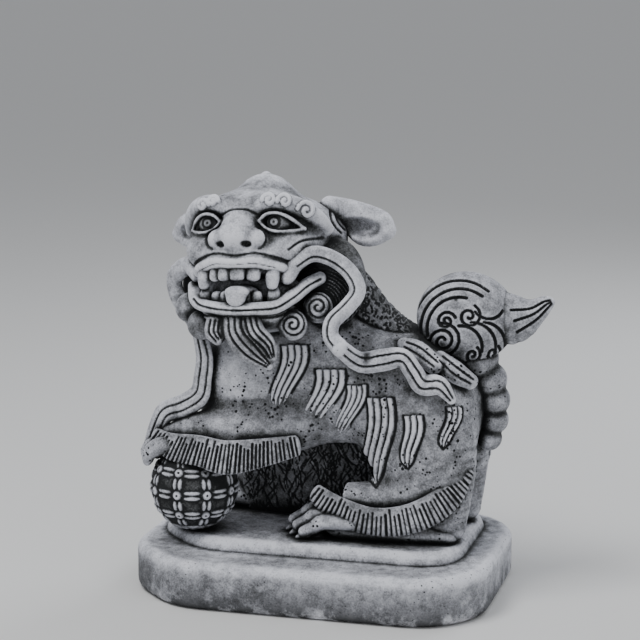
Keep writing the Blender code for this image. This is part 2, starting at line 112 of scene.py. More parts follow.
def blended(a, b, k):
    """The union of two distances, with a fillet about k wide."""
    if k <= 0:
        return np.minimum(a, b)
    h = np.clip(0.5 + 0.5 * (b - a) / k, 0.0, 1.0)
    return b + (a - b) * h - k * h * (1.0 - h)


class Clay:
    """Signed distances on a lattice, to which shapes are added and from which they are cut."""

    def __init__(self, low, high, step=STEP):
        self.step = step
        self.first = np.floor(np.array(low) / step).astype(int)
        shape = np.ceil(np.array(high) / step).astype(int) - self.first + 1
        self.d = np.full(shape, FAR, np.float32)

    def window(self, low, high, margin):
        a = np.floor((np.array(low) - margin) / self.step).astype(int) - self.first
        b = np.ceil((np.array(high) + margin) / self.step).astype(int) - self.first + 1
        a = np.clip(a, 0, self.d.shape)
        b = np.clip(b, 0, self.d.shape)
        place = tuple(slice(i, j) for i, j in zip(a, b))
        axes = [(np.arange(i, j) + f) * self.step for i, j, f in zip(a, b, self.first)]
        x, y, z = [axis.astype(np.float32) for axis in axes]
        return place, x[:, None, None], y[None, :, None], z[None, None, :]

    def add(self, shape, k=0.0, sign=1.0, margin=8.0):
        """Adds a shape with a fillet about k wide; sign -1 takes it away."""
        place, *where = self.window(shape.low, shape.high, margin + k)
        if self.d[place].size:
            self.d[place] = sign * blended(sign * self.d[place], shape.measure(*where), k)
        return self

    def cut(self, shape, k=0.0):
        return self.add(shape, k, -1.0, 4.0)


class Blob:
    """An ellipsoid."""

    def __init__(self, centre, radii, turn=None):
        self.centre = np.array(centre, float)
        self.radii = np.array(radii, float)
        self.turn = np.eye(3) if turn is None else turn
        reach = np.sqrt(((self.turn * self.radii) ** 2).sum(axis=1))
        self.low, self.high = self.centre - reach, self.centre + reach

    def measure(self, x, y, z):
        dx, dy, dz = x - self.centre[0], y - self.centre[1], z - self.centre[2]
        first = second = 0.0
        for k in range(3):
            axis = self.turn[:, k]
            along = (dx * axis[0] + dy * axis[1] + dz * axis[2]) / self.radii[k]
            first = first + along**2
            second = second + (along / self.radii[k]) ** 2
        first = np.sqrt(first)
        return (first * (first - 1.0) / np.sqrt(second + 1e-9)).astype(np.float32)


def curve(points, steps=4):
    """Points of the Catmull-Rom curve through the given rows of numbers."""
    p = np.array(points, float)
    if len(p) < 3:
        t = np.linspace(0.0, 1.0, steps + 1)[:, None]
        return p[0] + (p[-1] - p[0]) * t
    p = np.vstack([2 * p[0] - p[1], p, 2 * p[-1] - p[-2]])
    rows = []
    for a, b, c, d in zip(p, p[1:], p[2:], p[3:]):
        for t in np.arange(steps) / steps:
            rows.append(
                0.5
                * (2 * b + (c - a) * t + (2 * a - 5 * b + 4 * c - d) * t**2
                   + (3 * b - a - 3 * c + d) * t**3)
            )
    rows.append(p[-2])
    return np.array(rows)


class Tube:
    """A limb, strand or band with oval sections along a smooth path.

    A station is (point, half breadth, half thickness); the thickness lies along facing.
    """

    def __init__(self, stations, facing=(0, 1, 0), steps=4):
        rows = curve([(*point, breadth, depth) for point, breadth, depth in stations], steps)
        self.points = rows[:, :3]
        self.breadths = np.maximum(rows[:, 3], 0.3)
        self.depths = np.maximum(rows[:, 4], 0.3)
        self.facing = np.array(facing, float)
        reach = np.maximum(self.breadths, self.depths)[:, None]
        self.low = (self.points - reach).min(axis=0)
        self.high = (self.points + reach).max(axis=0)

    def measure(self, x, y, z):
        nearest = np.full(np.broadcast_shapes(x.shape, y.shape, z.shape), FAR, np.float32)
        axes = (x.ravel(), y.ravel(), z.ravel())
        for i in range(len(self.points) - 1):
            a, b = self.points[i], self.points[i + 1]
            run = b - a
            length = np.linalg.norm(run) + 1e-6
            along = run / length
            across = np.cross(along, self.facing)
            across /= np.linalg.norm(across) + 1e-6
            through = np.cross(across, along)
            reach = max(self.breadths[i : i + 2].max(), self.depths[i : i + 2].max()) + 9.0
            low, high = np.minimum(a, b) - reach, np.maximum(a, b) + reach
            part = tuple(
                slice(np.searchsorted(axis, l), np.searchsorted(axis, h))
                for axis, l, h in zip(axes, low, high)
            )
            if any(s.start >= s.stop for s in part):
                continue
            dx = x[part[0]] - a[0]
            dy = y[:, part[1]] - a[1]
            dz = z[:, :, part[2]] - a[2]
            s = dx * along[0] + dy * along[1] + dz * along[2]
            t = np.clip(s / length, 0.0, 1.0)
            u = dx * across[0] + dy * across[1] + dz * across[2]
            w = dx * through[0] + dy * through[1] + dz * through[2]
            past = s - t * length
            breadth = self.breadths[i] + (self.breadths[i + 1] - self.breadths[i]) * t
            depth = self.depths[i] + (self.depths[i + 1] - self.depths[i]) * t
            small = np.minimum(breadth, depth)
            first = np.sqrt((u / breadth) ** 2 + (w / depth) ** 2 + (past / small) ** 2)
            second = np.sqrt(
                (u / breadth**2) ** 2 + (w / depth**2) ** 2 + (past / small**2) ** 2 + 1e-9
            )
            distance = first * (first - 1.0) / second
            distance = np.where(first < 0.05, -small, distance)
            nearest[part] = np.minimum(nearest[part], distance)
        return nearest


class Slab:
    """An upright block with a convex outline, rounded edges and a sloping side."""

    def __init__(self, outline, low, high, rounding, draft=0.0):
        self.outline = np.array(outline, float)
        self.bottom, self.top, self.rounding, self.draft = low, high, rounding, draft
        self.low = np.array([*self.outline.min(axis=0), low])
        self.high = np.array([*self.outline.max(axis=0), high])

    def measure(self, x, y, z):
        count = len(self.outline)
        slope = self.draft * (z - self.bottom) / (self.top - self.bottom)
        inside = []
        for k in range(count):
            a, b = self.outline[k], self.outline[(k + 1) % count]
            run = (b - a) / np.linalg.norm(b - a)
            inside.append((x - a[0]) * run[1] - (y - a[1]) * run[0] + slope)
        side = inside[0]
        for other in inside[1:]:
            side = -blended(-side, -other, 14.0)
        flat = np.maximum(z - self.top, self.bottom - z)
        r = self.rounding
        outer = np.sqrt(np.maximum(side + r, 0) ** 2 + np.maximum(flat + r, 0) ** 2)
        return (np.minimum(np.maximum(side + r, flat + r), 0) + outer - r).astype(np.float32)


# ---- meshing

PARTS = []


def surface_of(clay):
    grid = openvdb.FloatGrid(FAR)
    grid.copyFromArray(np.ascontiguousarray(clay.d))
    points, _, quads = grid.convertToPolygons(0.0, 0.0)
    return (points + clay.first) * clay.step, quads.astype(np.int64)


class Part:
    """A meshed piece whose surface can still be pressed in or raised."""

    def __init__(self, name, clay, nodes, slot):
        self.name, self.nodes, self.slot = name, nodes, slot
        self.points, self.faces = surface_of(clay)
        self.clay = clay
        self.tint = np.zeros(len(self.points))
        self.carved = np.zeros(len(self.points))
        self.rubbed_and_highlit = np.zeros(len(self.points))
        self.find_normals()
        PARTS.append(self)

    def find_normals(self):
        p, f = self.points, self.faces
        face = np.cross(p[f[:, 2]] - p[f[:, 0]], p[f[:, 3]] - p[f[:, 1]])
        if (face * p[f[:, 0]]).sum() < 0:
            self.faces = f = f[:, ::-1]
            face = -face
        total = np.zeros_like(p)
        for k in range(4):
            np.add.at(total, f[:, k], face)
        self.normals = total / (np.linalg.norm(total, axis=1, keepdims=True) + 1e-12)

    def relaxed(self, rounds):
        """The points after each has moved to the middle of its neighbours this many times."""
        start, end = self.faces.ravel(), self.faces[:, [1, 2, 3, 0]].ravel()
        count = len(self.points)
        degree = np.maximum(np.bincount(start, minlength=count), 1)
        points = self.points
        for _ in range(rounds):
            sums = [np.bincount(start, weights=points[end, k], minlength=count) for k in range(3)]
            points = np.stack(sums, axis=1) / degree[:, None]
        return points

    def convexity(self, rounds):
        """How far each place stands out from its smoothed surroundings, in mm."""
        return ((self.points - self.relaxed(rounds)) * self.normals).sum(axis=1)

    def press(self, depth):
        """Moves the surface inwards by depth, a number for each point."""
        self.points = self.points - self.normals * depth[:, None]
        # The carved depth is later painted darker, as painted shade in the grooves along with the dark wash.
        self.carved += np.maximum(depth, 0.0)
        self.find_normals()


def occlusion_for_painted_shade(all_points, all_normals, solid):
    """How open each place is, from 0 in a deep crease to 1, measured through the clay; it paints shade into
    creases and between parts.
    """
    open_sum = np.zeros(len(all_points))
    weight_sum = 0.0
    for reach, weight in ((1.2, 0.9), (2.5, 1.0), (5.0, 0.8), (9.0, 0.6)):
        found = sample(solid, all_points + all_normals * reach)
        open_sum += weight * np.clip(found / reach, 0.0, 1.0)
        weight_sum += weight
    return open_sum / weight_sum


def sample(clay, points):
    """The clay's distances at any points, by linear interpolation."""
    place = points / clay.step - clay.first
    place = np.clip(place, 0, np.array(clay.d.shape) - 1.001)
    index = place.astype(int)
    t = place - index
    found = np.zeros(len(points))
    for corner in range(8):
        bits = [(corner >> k) & 1 for k in range(3)]
        share = np.ones(len(points))
        for k in range(3):
            share *= t[:, k] if bits[k] else 1 - t[:, k]
        at = [index[:, k] + bits[k] for k in range(3)]
        found += share * clay.d[at[0], at[1], at[2]]
    return found


def whole_clay(clays, low, high):
    """All the clay together, on a coarser lattice."""
    whole = Clay(low, high, AO_STEP)
    for clay in clays:
        a = clay.first * clay.step
        b = a + (np.array(clay.d.shape) - 1) * clay.step
        place, x, y, z = whole.window(a, b, 0.0)
        shape = np.broadcast_shapes(x.shape, y.shape, z.shape)
        grid = np.stack([np.broadcast_to(axis, shape).ravel() for axis in (x, y, z)], axis=1)
        whole.d[place] = np.minimum(whole.d[place], sample(clay, grid).reshape(shape))
    return whole


# ---- relief

# Relief is drawn on a plane that faces the display side, turned a little towards the
# tail and tilted up; a stroke is pressed into whatever surface lies behind it.
DRAWN_TURN, DRAWN_TILT = math.radians(15.3), math.radians(13.0)
RIGHT = np.array([math.cos(DRAWN_TURN), math.sin(DRAWN_TURN), 0.0])
OUT = np.array([
    math.sin(DRAWN_TURN) * math.cos(DRAWN_TILT),
    -math.cos(DRAWN_TURN) * math.cos(DRAWN_TILT),
    math.sin(DRAWN_TILT),
])
UP = np.cross(OUT, RIGHT)


def eased_step(low, high, value):
    t = np.clip((value - low) / (high - low), 0.0, 1.0)
    return t * t * (3.0 - 2.0 * t)


def near_line(a, b, line):
    """The distance of each place from a drawn line."""
    nearest = np.full(len(a), FAR)
    for (a0, b0), (a1, b1) in zip(line, line[1:]):
        da, db = a1 - a0, b1 - b0
        t = np.clip(((a - a0) * da + (b - b0) * db) / (da * da + db * db + 1e-9), 0.0, 1.0)
        nearest = np.minimum(nearest, np.hypot(a - a0 - t * da, b - b0 - t * db))
    return nearest


def within(a, b, outline):
    """Whether each place lies inside a closed outline."""
    inside = np.zeros(len(a), bool)
    for (a0, b0), (a1, b1) in zip(outline, np.roll(outline, -1, axis=0)):
        crosses = (b0 > b) != (b1 > b)
        inside ^= crosses & (a < a0 + (b - b0) * (a1 - a0) / (b1 - b0 + 1e-12))
    return inside


def wound(centre, radius, turns, start, way):
    """A line that winds in to its centre, from an angle in degrees."""
    t = np.linspace(0.0, 1.0, int(14 * turns) + 2)
    angle = math.radians(start) + way * 2 * math.pi * turns * t
    reach = radius * (1.0 - 0.86 * t)
    return np.stack([centre[0] + reach * np.cos(angle), centre[1] + reach * np.sin(angle)], axis=1)


class Drawing:
    """Relief for one piece, pressed in when it is finished."""

    def __init__(self, part, mirror=False, facing=0.0):
        points, normals = part.points.copy(), part.normals.copy()
        if mirror:
            points[:, 1] = 2 * MIDDLE_Y - points[:, 1]
            normals[:, 1] *= -1
        self.part = part
        self.a, self.b = points @ RIGHT, points @ UP
        self.shown = eased_step(facing, facing + 0.25, normals @ OUT)
        self.grooves = np.zeros(len(points))
        self.rises = np.zeros(len(points))

    def close_to(self, line, margin):
        low, high = line.min(axis=0) - margin, line.max(axis=0) + margin
        near = (self.a > low[0]) & (self.a < high[0]) & (self.b > low[1]) & (self.b < high[1])
        return np.nonzero(near & (self.shown > 0))[0]

    def groove(self, points, width=0.9, depth=1.0, steps=5):
        line = curve(points, steps)
        at = self.close_to(line, width)
        distance = near_line(self.a[at], self.b[at], line)
        profile = depth * (1.0 - eased_step(0.0, width, distance))
        self.grooves[at] = np.maximum(self.grooves[at], profile)

    def ridge(self, points, width=1.5, height=1.0, steps=5):
        line = curve(points, steps)
        at = self.close_to(line, width)
        distance = near_line(self.a[at], self.b[at], line) / width
        profile = height * np.sqrt(np.clip(1.0 - distance**2, 0.0, 1.0))
        self.rises[at] = np.maximum(self.rises[at], profile)

    def lock(self, left, right, strands, rise=1.8, depth=1.3):
        """A raised bundle of strands between its two drawn sides."""
        left, right = curve(left, 4), curve(right, 4)
        outline = np.vstack([left, right[::-1]])
        at = self.close_to(outline, 1.0)
        a, b = self.a[at], self.b[at]
        inside = within(a, b, outline)
        from_left, from_right = near_line(a, b, left), near_line(a, b, right)
        share = from_left / (from_left + from_right + 1e-6)
        edge = np.minimum(from_left, from_right)
        phase = share * strands
        strand = np.abs(np.sin(math.pi * phase)) ** 0.6
        height = rise * eased_step(0.0, 1.2, edge) * (0.25 + 0.75 * strand)
        self.rises[at] = np.maximum(self.rises[at], np.where(inside, height, 0.0))
        cleft = np.abs(phase - np.round(phase)) * (from_left + from_right) / strands
        inner = inside & (np.round(phase) > 0) & (np.round(phase) < strands)
        groove = depth * (1.0 - eased_step(0.0, 0.8, cleft))
        self.grooves[at] = np.maximum(self.grooves[at], np.where(inner, groove, 0.0))
        outside = depth * 0.6 * (1.0 - eased_step(0.0, 1.3, edge))
        self.grooves[at] = np.maximum(self.grooves[at], outside)

    def spiral(self, winding, width=0.9, depth=1.2):
        """A groove that winds in to a centre."""
        self.groove(wound(*winding), width, depth, 1)

    def coil(self, winding, width=1.3, height=1.2):
        """A raised roll that winds in to a centre."""
        self.ridge(wound(*winding), width, height, 1)

    def fan(self, inner, outer, count, width=0.7, depth=1.0):
        """Uneven grooves across a band, from its inner line past its outer line."""
        chance = np.random.RandomState(count)
        inner, outer = evenly(inner, count), evenly(outer, count)
        for a, b in zip(inner, outer):
            start, end = chance.uniform(-0.05, 0.22), chance.uniform(0.85, 1.35)
            way, lean = b - a, chance.normal(0.0, 0.25, 2)
            cut = chance.uniform(0.65, 1.15)
            self.groove([a + way * start, a + way * end + lean], width * cut, depth * cut, 2)

    def press(self):
        self.part.press((self.grooves - self.rises) * self.shown)
        # Raised relief is marked to be painted paler: rubbed stone with painted highlight.
        self.part.rubbed_and_highlit += self.rises * self.shown


def evenly(points, count):
    """Places at equal steps along the curve through the points."""
    line = curve(points, 6)
    run = np.concatenate([[0.0], np.cumsum(np.linalg.norm(np.diff(line, axis=0), axis=1))])
    at = np.linspace(0.0, run[-1], count)
    return np.stack([np.interp(at, run, line[:, k]) for k in range(line.shape[1])], axis=1)


def drawn(points):
    """Where places of the figure fall on the drawing plane."""
    points = np.array(points, float)
    return np.stack([points @ RIGHT, points @ UP], axis=1)


def along(stations, share):
    """A line that follows a band: share 1 is its upper edge, 0 its middle, -1 its lower edge."""
    places = drawn([point for point, _, _ in stations])
    breadths = np.array([breadth for _, breadth, _ in stations])
    way = np.gradient(places, axis=0)
    way /= np.linalg.norm(way, axis=1, keepdims=True)
    return places + share * breadths[:, None] * np.stack([-way[:, 1], way[:, 0]], axis=1)


def arc(centre, radius, start, end, count=9):
    """Part of a circle on the drawing plane, between two angles in degrees."""
    angle = np.radians(np.linspace(start, end, count))
    return np.asarray(centre) + radius * np.stack([np.cos(angle), np.sin(angle)], axis=1)


# ---- plinth and ball


HEAD_END_CUT = 38


def plinth_outline(low, high, head_cut, tail_cut):
    (x0, y0), (x1, y1) = low[:2], high[:2]
    return [
        (x0 + head_cut, y0), (x1 - tail_cut, y0), (x1, y0 + tail_cut), (x1, y1 - tail_cut),
        (x1 - tail_cut, y1), (x0 + head_cut, y1), (x0, y1 - head_cut), (x0, y0 + head_cut),
    ]


def make_base():
    """The plinth, and the step that sinks a little into it."""
    step = 1.4
    for name, node, tail_cut, sunk, rounding, draft in (
        ("plinth_block", "plinth", 28, 0.0, 5.5, 0.0),
        ("plinth_top_step", "plinth_step", 14, 3.0, 3.5, 4.0),
    ):
        low, high = corners(node)
        low, high = low - ORIGIN, high - ORIGIN
        low[2] -= sunk
        outline = plinth_outline(low, high, HEAD_END_CUT, tail_cut)
        clay = Clay(low - 5, high + 5, step)
        Part(name, clay.add(Slab(outline, low[2], high[2], rounding, draft)), [node], "plinth")


def make_ball():
    centre = BALL - ORIGIN
    reach = np.full(3, BALL_RADIUS + 5.0)
    clay = Clay(centre - reach, centre + reach, STEP * 0.9)
    clay.add(Blob(centre, [BALL_RADIUS - 1.0] * 3))
    ball = Part("embroidered_ball", clay, ["ball"], "ball")
    pattern = ball_pattern(ball.points - centre)
    ball.press(-pattern)
    # Painted shade and dark wash in the low ground between the bosses; the bosses are painted paler, rubbed
    # and with painted highlight.
    ball.carved += 1.2 * (1.0 - eased_step(-0.2, 0.7, pattern))
    ball.rubbed_and_highlit += np.maximum(pattern, 0.0)


def ball_pattern(places):
    """Round bosses in rows and columns, with a pair of lens-shaped bars between neighbours."""
    column, row = math.radians(40.0), math.radians(29.5)
    azimuth = np.arctan2(places[:, 0], -places[:, 1]) - DRAWN_TURN - math.radians(20.0)
    height = np.arcsin(np.clip(places[:, 2] / np.linalg.norm(places, axis=1), -1.0, 1.0))
    u, v = azimuth / column, height / row
    across, along = BALL_RADIUS * column * np.cos(height), BALL_RADIUS * row
    rise = np.zeros(len(places))
    boss = np.hypot((u - np.round(u)) * across, (v - np.round(v)) * along)
    rise = np.maximum(rise, 1.6 * np.sqrt(np.clip(1.0 - (boss / 3.1) ** 2, 0.0, 1.0)))
    rise -= 1.4 * (1.0 - eased_step(0.4, 1.0, boss))
    for turned_bar, half_length in ((False, 5.6), (True, 3.9)):
        i = u - np.round(u) if turned_bar else u - np.floor(u) - 0.5
        j = v - np.floor(v) - 0.5 if turned_bar else v - np.round(v)
        x, y = i * across, j * along
        if turned_bar:
            x, y = y, x
        for offset_y in (-1.75, 1.75):
            lens = 1.0 - (x / half_length) ** 2 - ((y - offset_y) / 1.55) ** 2
            rise = np.maximum(rise, 1.3 * np.sqrt(np.clip(lens, 0.0, 1.0)))
    return rise - 0.3


# ---- trunk and legs

LOCK_NODES = ["mane_lock_%s_%d" % (side, n) for side in ("left", "right") for n in range(1, 6)]


def torso_clay():
    clay = Clay((-95, -42, 18), (118, 60, 188))
    for centre, radii, fillet in (
        ((-38, 0, 92), (44, 36, 48), 0), ((-26, 2, 138), (34, 31, 38), 18),
        ((-2, 4, 112), (38, 36, 38), 14), ((24, -5, 94), (58, 25, 38), 14),
        ((24, 21, 94), (58, 25, 38), 14), ((70, 8, 82), (35, 35, 46), 14),
    ):
        clay.add(Blob(centre, radii), fillet)
    return clay


def skirted(clay, host, k, reach=14.0):
    """The clay with a fillet into the host's surface, which it meets just under the skin."""
    over = np.full(clay.d.shape, FAR, np.float32)
    low = np.maximum(clay.first, host.first)
    high = np.minimum(clay.first + clay.d.shape, host.first + host.d.shape)
    here = tuple(slice(a, b) for a, b in zip(low - clay.first, high - clay.first))
    there = tuple(slice(a, b) for a, b in zip(low - host.first, high - host.first))
    over[here] = host.d[there]
    clay.d = np.maximum(blended(clay.d, over + 0.3, k), clay.d - reach)
    return clay


def placed(stations, side):
    if side == "right":
        return [(flip(point), a, b) for point, a, b in stations]
    return stations


def sided_clay(low, high, side):
    """A lattice on one flank, from its corners on the left flank."""
    (x0, y0, z0), (x1, y1, z1) = low, high
    if side == "right":
        y0, y1 = 2 * MIDDLE_Y - y1, 2 * MIDDLE_Y - y0
    return Clay((x0, y0, z0), (x1, y1, z1))


def one_tube(name, tube, node, slot, margin=5, step=STEP):
    """A piece made of a single tube."""
    clay = Clay(tube.low - margin, tube.high + margin, step)
    Part(name, clay.add(tube), [node], slot)


BALL_TOP = 2 * BALL_RADIUS - 2.0


def over_ball(x, y, z):
    return (x, y, BALL_TOP + z)


def make_trunk(torso):
    trunk = Part("trunk", torso, ["torso"] + LOCK_NODES, "body_stone")
    x, z = trunk.points[:, 0], trunk.points[:, 2]
    trunk.tint += 0.13 * eased_step(5.0, -35.0, x) * eased_step(70.0, 100.0, z)


def make_left_foreleg(torso):
    """The raised leg, with its paw on the ball."""
    clay = Clay((-112, -58, 30), (30, 12, 92))
    clay.add(Tube([
        (over_ball(8, -12, 16), 10, 10), (over_ball(-8, -20, 13), 15, 13),
        (over_ball(-27, -29, 10), 15, 14), (over_ball(-49, -33, 9), 14, 13),
        (over_ball(-70, -34, 9), 12, 12), (over_ball(-86, -35, 5), 9, 9),
    ]))
    Part("forearm_left", skirted(clay, torso, 12), ["front_leg_left"], "body_stone")
    clay = Clay((-115, -56, 30), (-50, -16, 66))
    for y, x in ((-44, -99), (-35, -103), (-26, -99)):
        clay.add(Tube([
            (over_ball(x + 22, y, 1), 6, 5), (over_ball(x + 9, y, 1), 6, 6),
            (over_ball(x, y, -4), 5, 5), (over_ball(x - 2, y, -10), 3, 3),
        ]), 2)
    Part("forepaw_left", clay, ["front_paw_left"], "body_stone")


def make_right_foreleg(torso):
    clay = Clay((-90, 8, -2), (-8, 60, 100))
    clay.add(Tube([
        ((-37, 25, 90), 19, 13), ((-45, 31, 64), 17, 13), ((-51, 33, 39), 13, 12),
        ((-54, 33, 12), 12, 12),
    ]))
    Part("foreleg_right", skirted(clay, torso, 10), ["front_leg_right"], "body_stone")
    clay = Clay((-98, 12, -3), (-34, 54, 26))
    for y, x in ((24, -82), (33, -86), (42, -82)):
        clay.add(Tube([
            ((x + 34, y, 7), 7, 7), ((x + 18, y, 10), 8, 8), ((x + 5, y, 8), 6, 6), ((x, y, 4), 4, 4),
        ]), 2)
    Part("forepaw_right", clay, ["front_paw_right"], "body_stone")


def make_hind_leg(torso, side):
    leg = sided_clay((24, -44, -2), (118, 8, 125), side)
    leg.add(Tube(placed([
        ((62, -4, 108), 14, 9), ((64, -9, 92), 29, 17), ((67, -12, 68), 35, 20),
        ((74, -14, 44), 31, 20), ((82, -16, 22), 20, 14), ((88, -17, 8), 11, 9),
    ], side)))
    leg.add(Tube(placed([((70, -20, 30), 12, 12), ((46, -22, 26), 11, 12), ((22, -24, 25), 9, 12)], side)), 9)
    Part("hind_leg_and_thigh_" + side, skirted(leg, torso, 12), ["hind_leg_" + side], "body_stone")
    paw = sided_clay((-22, -46, -3), (96, 2, 34), side)
    paw.add(Tube(placed([((88, -20, 4), 6, 8), ((50, -22, 7), 9, 13), ((20, -24, 10), 11, 14)], side)))
    for y, x, z in ((-37, 9, -1), (-30, 3, 1), (-21, -2, 2), (-12, 2, 1)):
        paw.add(Tube(placed([
            ((x + 22, y + 3, 13 + z), 5, 7), ((x + 4, y, 13 + z), 5, 7), ((x - 3, y, 9 + z), 4.2, 6),
            ((x - 9, y - 1, 6 + z), 3.6, 4.5),
        ], side)), 0.6)
        paw.add(Tube(placed([((x - 7, y - 1, 5 + z), 3, 3), ((x - 13, y - 1, 1), 1.6, 1.8)], side)), 0.4)
    Part("hind_paw_toes_" + side, paw, ["hind_paw_" + side], "body_stone")


def make_belly_wall():
    web = Clay((-70, 4, -3), (85, 40, 85))
    web.add(Tube([((-52, 21, 36), 38, 7), ((-30, 21, 36), 40, 9), ((10, 21, 37), 42, 9),
                  ((52, 21, 37), 42, 9), ((70, 21, 36), 38, 7)]))
    Part("belly_hair_wall", web, ["belly_web"], "dark_hair")


FRILL_LEFT_FRONT = [
    (over_ball(-97, -39, 6), 5, 2.5), (over_ball(-84, -47, 1), 9, 3), (over_ball(-64, -52, 1), 10, 3.5),
    (over_ball(-46, -53, -2), 11, 3.5), (over_ball(-24, -46, 1), 9, 3.5), (over_ball(-6, -35, 4), 7, 3),
]
FRILL_RIGHT_FRONT = [
    ((-66, 37, 43), 6, 2.5), ((-62, 45, 36), 9, 3), ((-47, 48, 31), 9, 3), ((-33, 44, 35), 7, 2.5),
]
FRILL_HIND = [
    ((5, -29, 28), 6, 2.5), ((20, -35, 20), 9, 3), ((45, -39, 15), 9, 3.5), ((70, -38, 19), 9.5, 3.5),
    ((89, -31, 31), 9, 3.5), ((99, -21, 47), 6, 2.5),
]


def make_frills():
    for name, stations, node in (
        ("fringe_front_left", FRILL_LEFT_FRONT, "front_frill_left"),
        ("fringe_front_right", FRILL_RIGHT_FRONT, "front_frill_right"),
        ("fringe_hind_left", FRILL_HIND, "hind_frill_left"),
        ("fringe_hind_right", placed(FRILL_HIND, "right"), "hind_frill_right"),
    ):
        one_tube(name, Tube(stations), node, "carved_hair", step=STEP * FINE)


# ---- tail and ribbons


TAIL = middle("tail_curl") - ORIGIN
TAIL_RADIUS = (corners("tail_curl")[1][0] - corners("tail_curl")[0][0]) / 2 / 1.06


def by_tail(x, y, z):
    """A place given from the tail curl's centre in shares of its radius."""
    return TAIL + np.array([x, y, z]) * TAIL_RADIUS


TAIL_TIP = [
    (by_tail(x, 0, z), breadth * TAIL_RADIUS, depth * TAIL_RADIUS)
    for x, z, breadth, depth in (
        (0.45, 0.15, 0.50, 0.45), (0.95, 0.0, 0.52, 0.42), (1.35, 0.14, 0.30, 0.28),
        (1.62, 0.34, 0.18, 0.19), (1.74, 0.40, 0.10, 0.11),
    )
]
RUMP_FOLDS = [
    [((58, -14, 122), 5, 5), ((68, -22, 120), 7, 5), ((80, -26, 113), 6, 5)],
    [((82, -20, 116), 5, 5), ((91, -22, 109), 7, 5), ((101, -18, 102), 5, 4)],
]


def make_tail():
    curl = Clay(TAIL - TAIL_RADIUS * 1.3, TAIL + TAIL_RADIUS * 1.3, STEP * FINE)
    curl.add(Blob(TAIL, TAIL_RADIUS * np.array([1.04, 0.80, 0.96])))
    tip = Clay(by_tail(0.2, -0.8, -0.7), by_tail(2.0, 0.8, 0.9), STEP * FINE)
    tip.add(Tube(TAIL_TIP))
    stem = Clay((60, -12, 44), (126, 36, 142))
    for point, radius in (((107, 14, 60), 8), ((110, 14, 72), 9), ((110, 13, 85), 10),
                          ((107, 12, 98), 11), ((100, 9, 112), 13)):
        stem.add(Blob(point, (radius, radius + 2, radius)), 2)
    folds = Clay((50, -40, 92), (112, 2, 136))
    for stations in RUMP_FOLDS:
        folds.add(Tube(stations), 2)
    Part("tail_spirals", curl, ["tail_curl"], "carved_hair")
    Part("tail_flame", tip, ["tail_tip"], "carved_hair")
    Part("tail_root", stem, ["tail_stem"], "body_stone")
    Part("rump_folds", folds, ["rump_fold_front", "rump_fold_rear"], "body_stone")


LOOP_LEFT = [
    (head(30, -35, -19), 5, 5), (head(35, -34, -11), 5, 4.5), (head(45, -31, -5), 5, 4.5),
    (head(57, -28, -8), 5, 4.5), (head(67, -25, -16), 5, 4.5), (head(71, -22, -27), 5, 4.5),
    (head(65, -24, -37), 5, 4.5), (head(57, -27, -46), 5, 4.5), (head(57, -29, -55), 5, 4.5),
    (head(64, -31, -62), 5.5, 4.5),
]
END_LEFT = [
    (head(64, -31, -62), 5.5, 4.5), ((36, -38, 115), 6.5, 4.5), ((50, -38, 117), 7, 4.5),
    ((62, -38, 119), 6, 4), ((69, -38, 111), 6, 4), ((75, -38, 103), 6.5, 4),
    ((85, -37, 103), 6, 3.5), ((92, -34, 94), 3, 3),
]
LOOP_RIGHT = [
    ((-70, -34, 165), 6, 3.5), ((-79, -24, 168), 6, 3.5), ((-90, -18, 160), 6, 3.5),
    ((-89, -18, 148), 6, 3.5), ((-79, -23, 137), 6, 3.5), ((-71, -28, 126), 5, 3.5),
]
END_RIGHT = [
    ((-71, -28, 126), 5, 3.5), ((-67, -30, 111), 6.5, 3.5), ((-68, -31, 98), 7, 3.5),
    ((-70, -33, 87), 7.5, 3.5), ((-80, -36, 80), 7.5, 3.5), ((-92, -35, 75), 7, 3.5),
    ((-98, -34, 64), 6.5, 3.5), ((-103, -32, 51), 5.5, 3.5), ((-105, -31, 43), 3.5, 3),
]


def make_ribbons():
    for name, node, stations, facing in (
        ("silk_loop_left", "ribbon_left_loop", LOOP_LEFT, (0, 1, 0)),
        ("silk_end_left", "ribbon_left_tail", END_LEFT, (0, 1, 0)),
        ("silk_loop_right", "ribbon_right_loop", LOOP_RIGHT, (0.4, 1, 0)),
        ("silk_end_right", "ribbon_right_tail", END_RIGHT, (0.4, 1, 0)),
    ):
        one_tube(name, Tube(stations, facing), node, "ribbon")


# ---- head


def head_blob(x, y, z, radii):
    return Blob(head(x, y, z), radii, HEAD_TURN)


def head_stations(rows):
    """Stations of a tube, from rows of x, y, z on the head, half breadth, half thickness."""
    return [(head(x, y, z), breadth, depth) for x, y, z, breadth, depth in rows]


def head_tube(rows):
    return Tube(head_stations(rows), HEAD_TURN @ np.array([0.0, 1.0, 0.0]))


def head_box(low, high):
    ends = np.array([head(x, y, z) for x in (low[0], high[0]) for y in (low[1], high[1])
                     for z in (low[2], high[2])])
    return Clay(ends.min(axis=0), ends.max(axis=0))


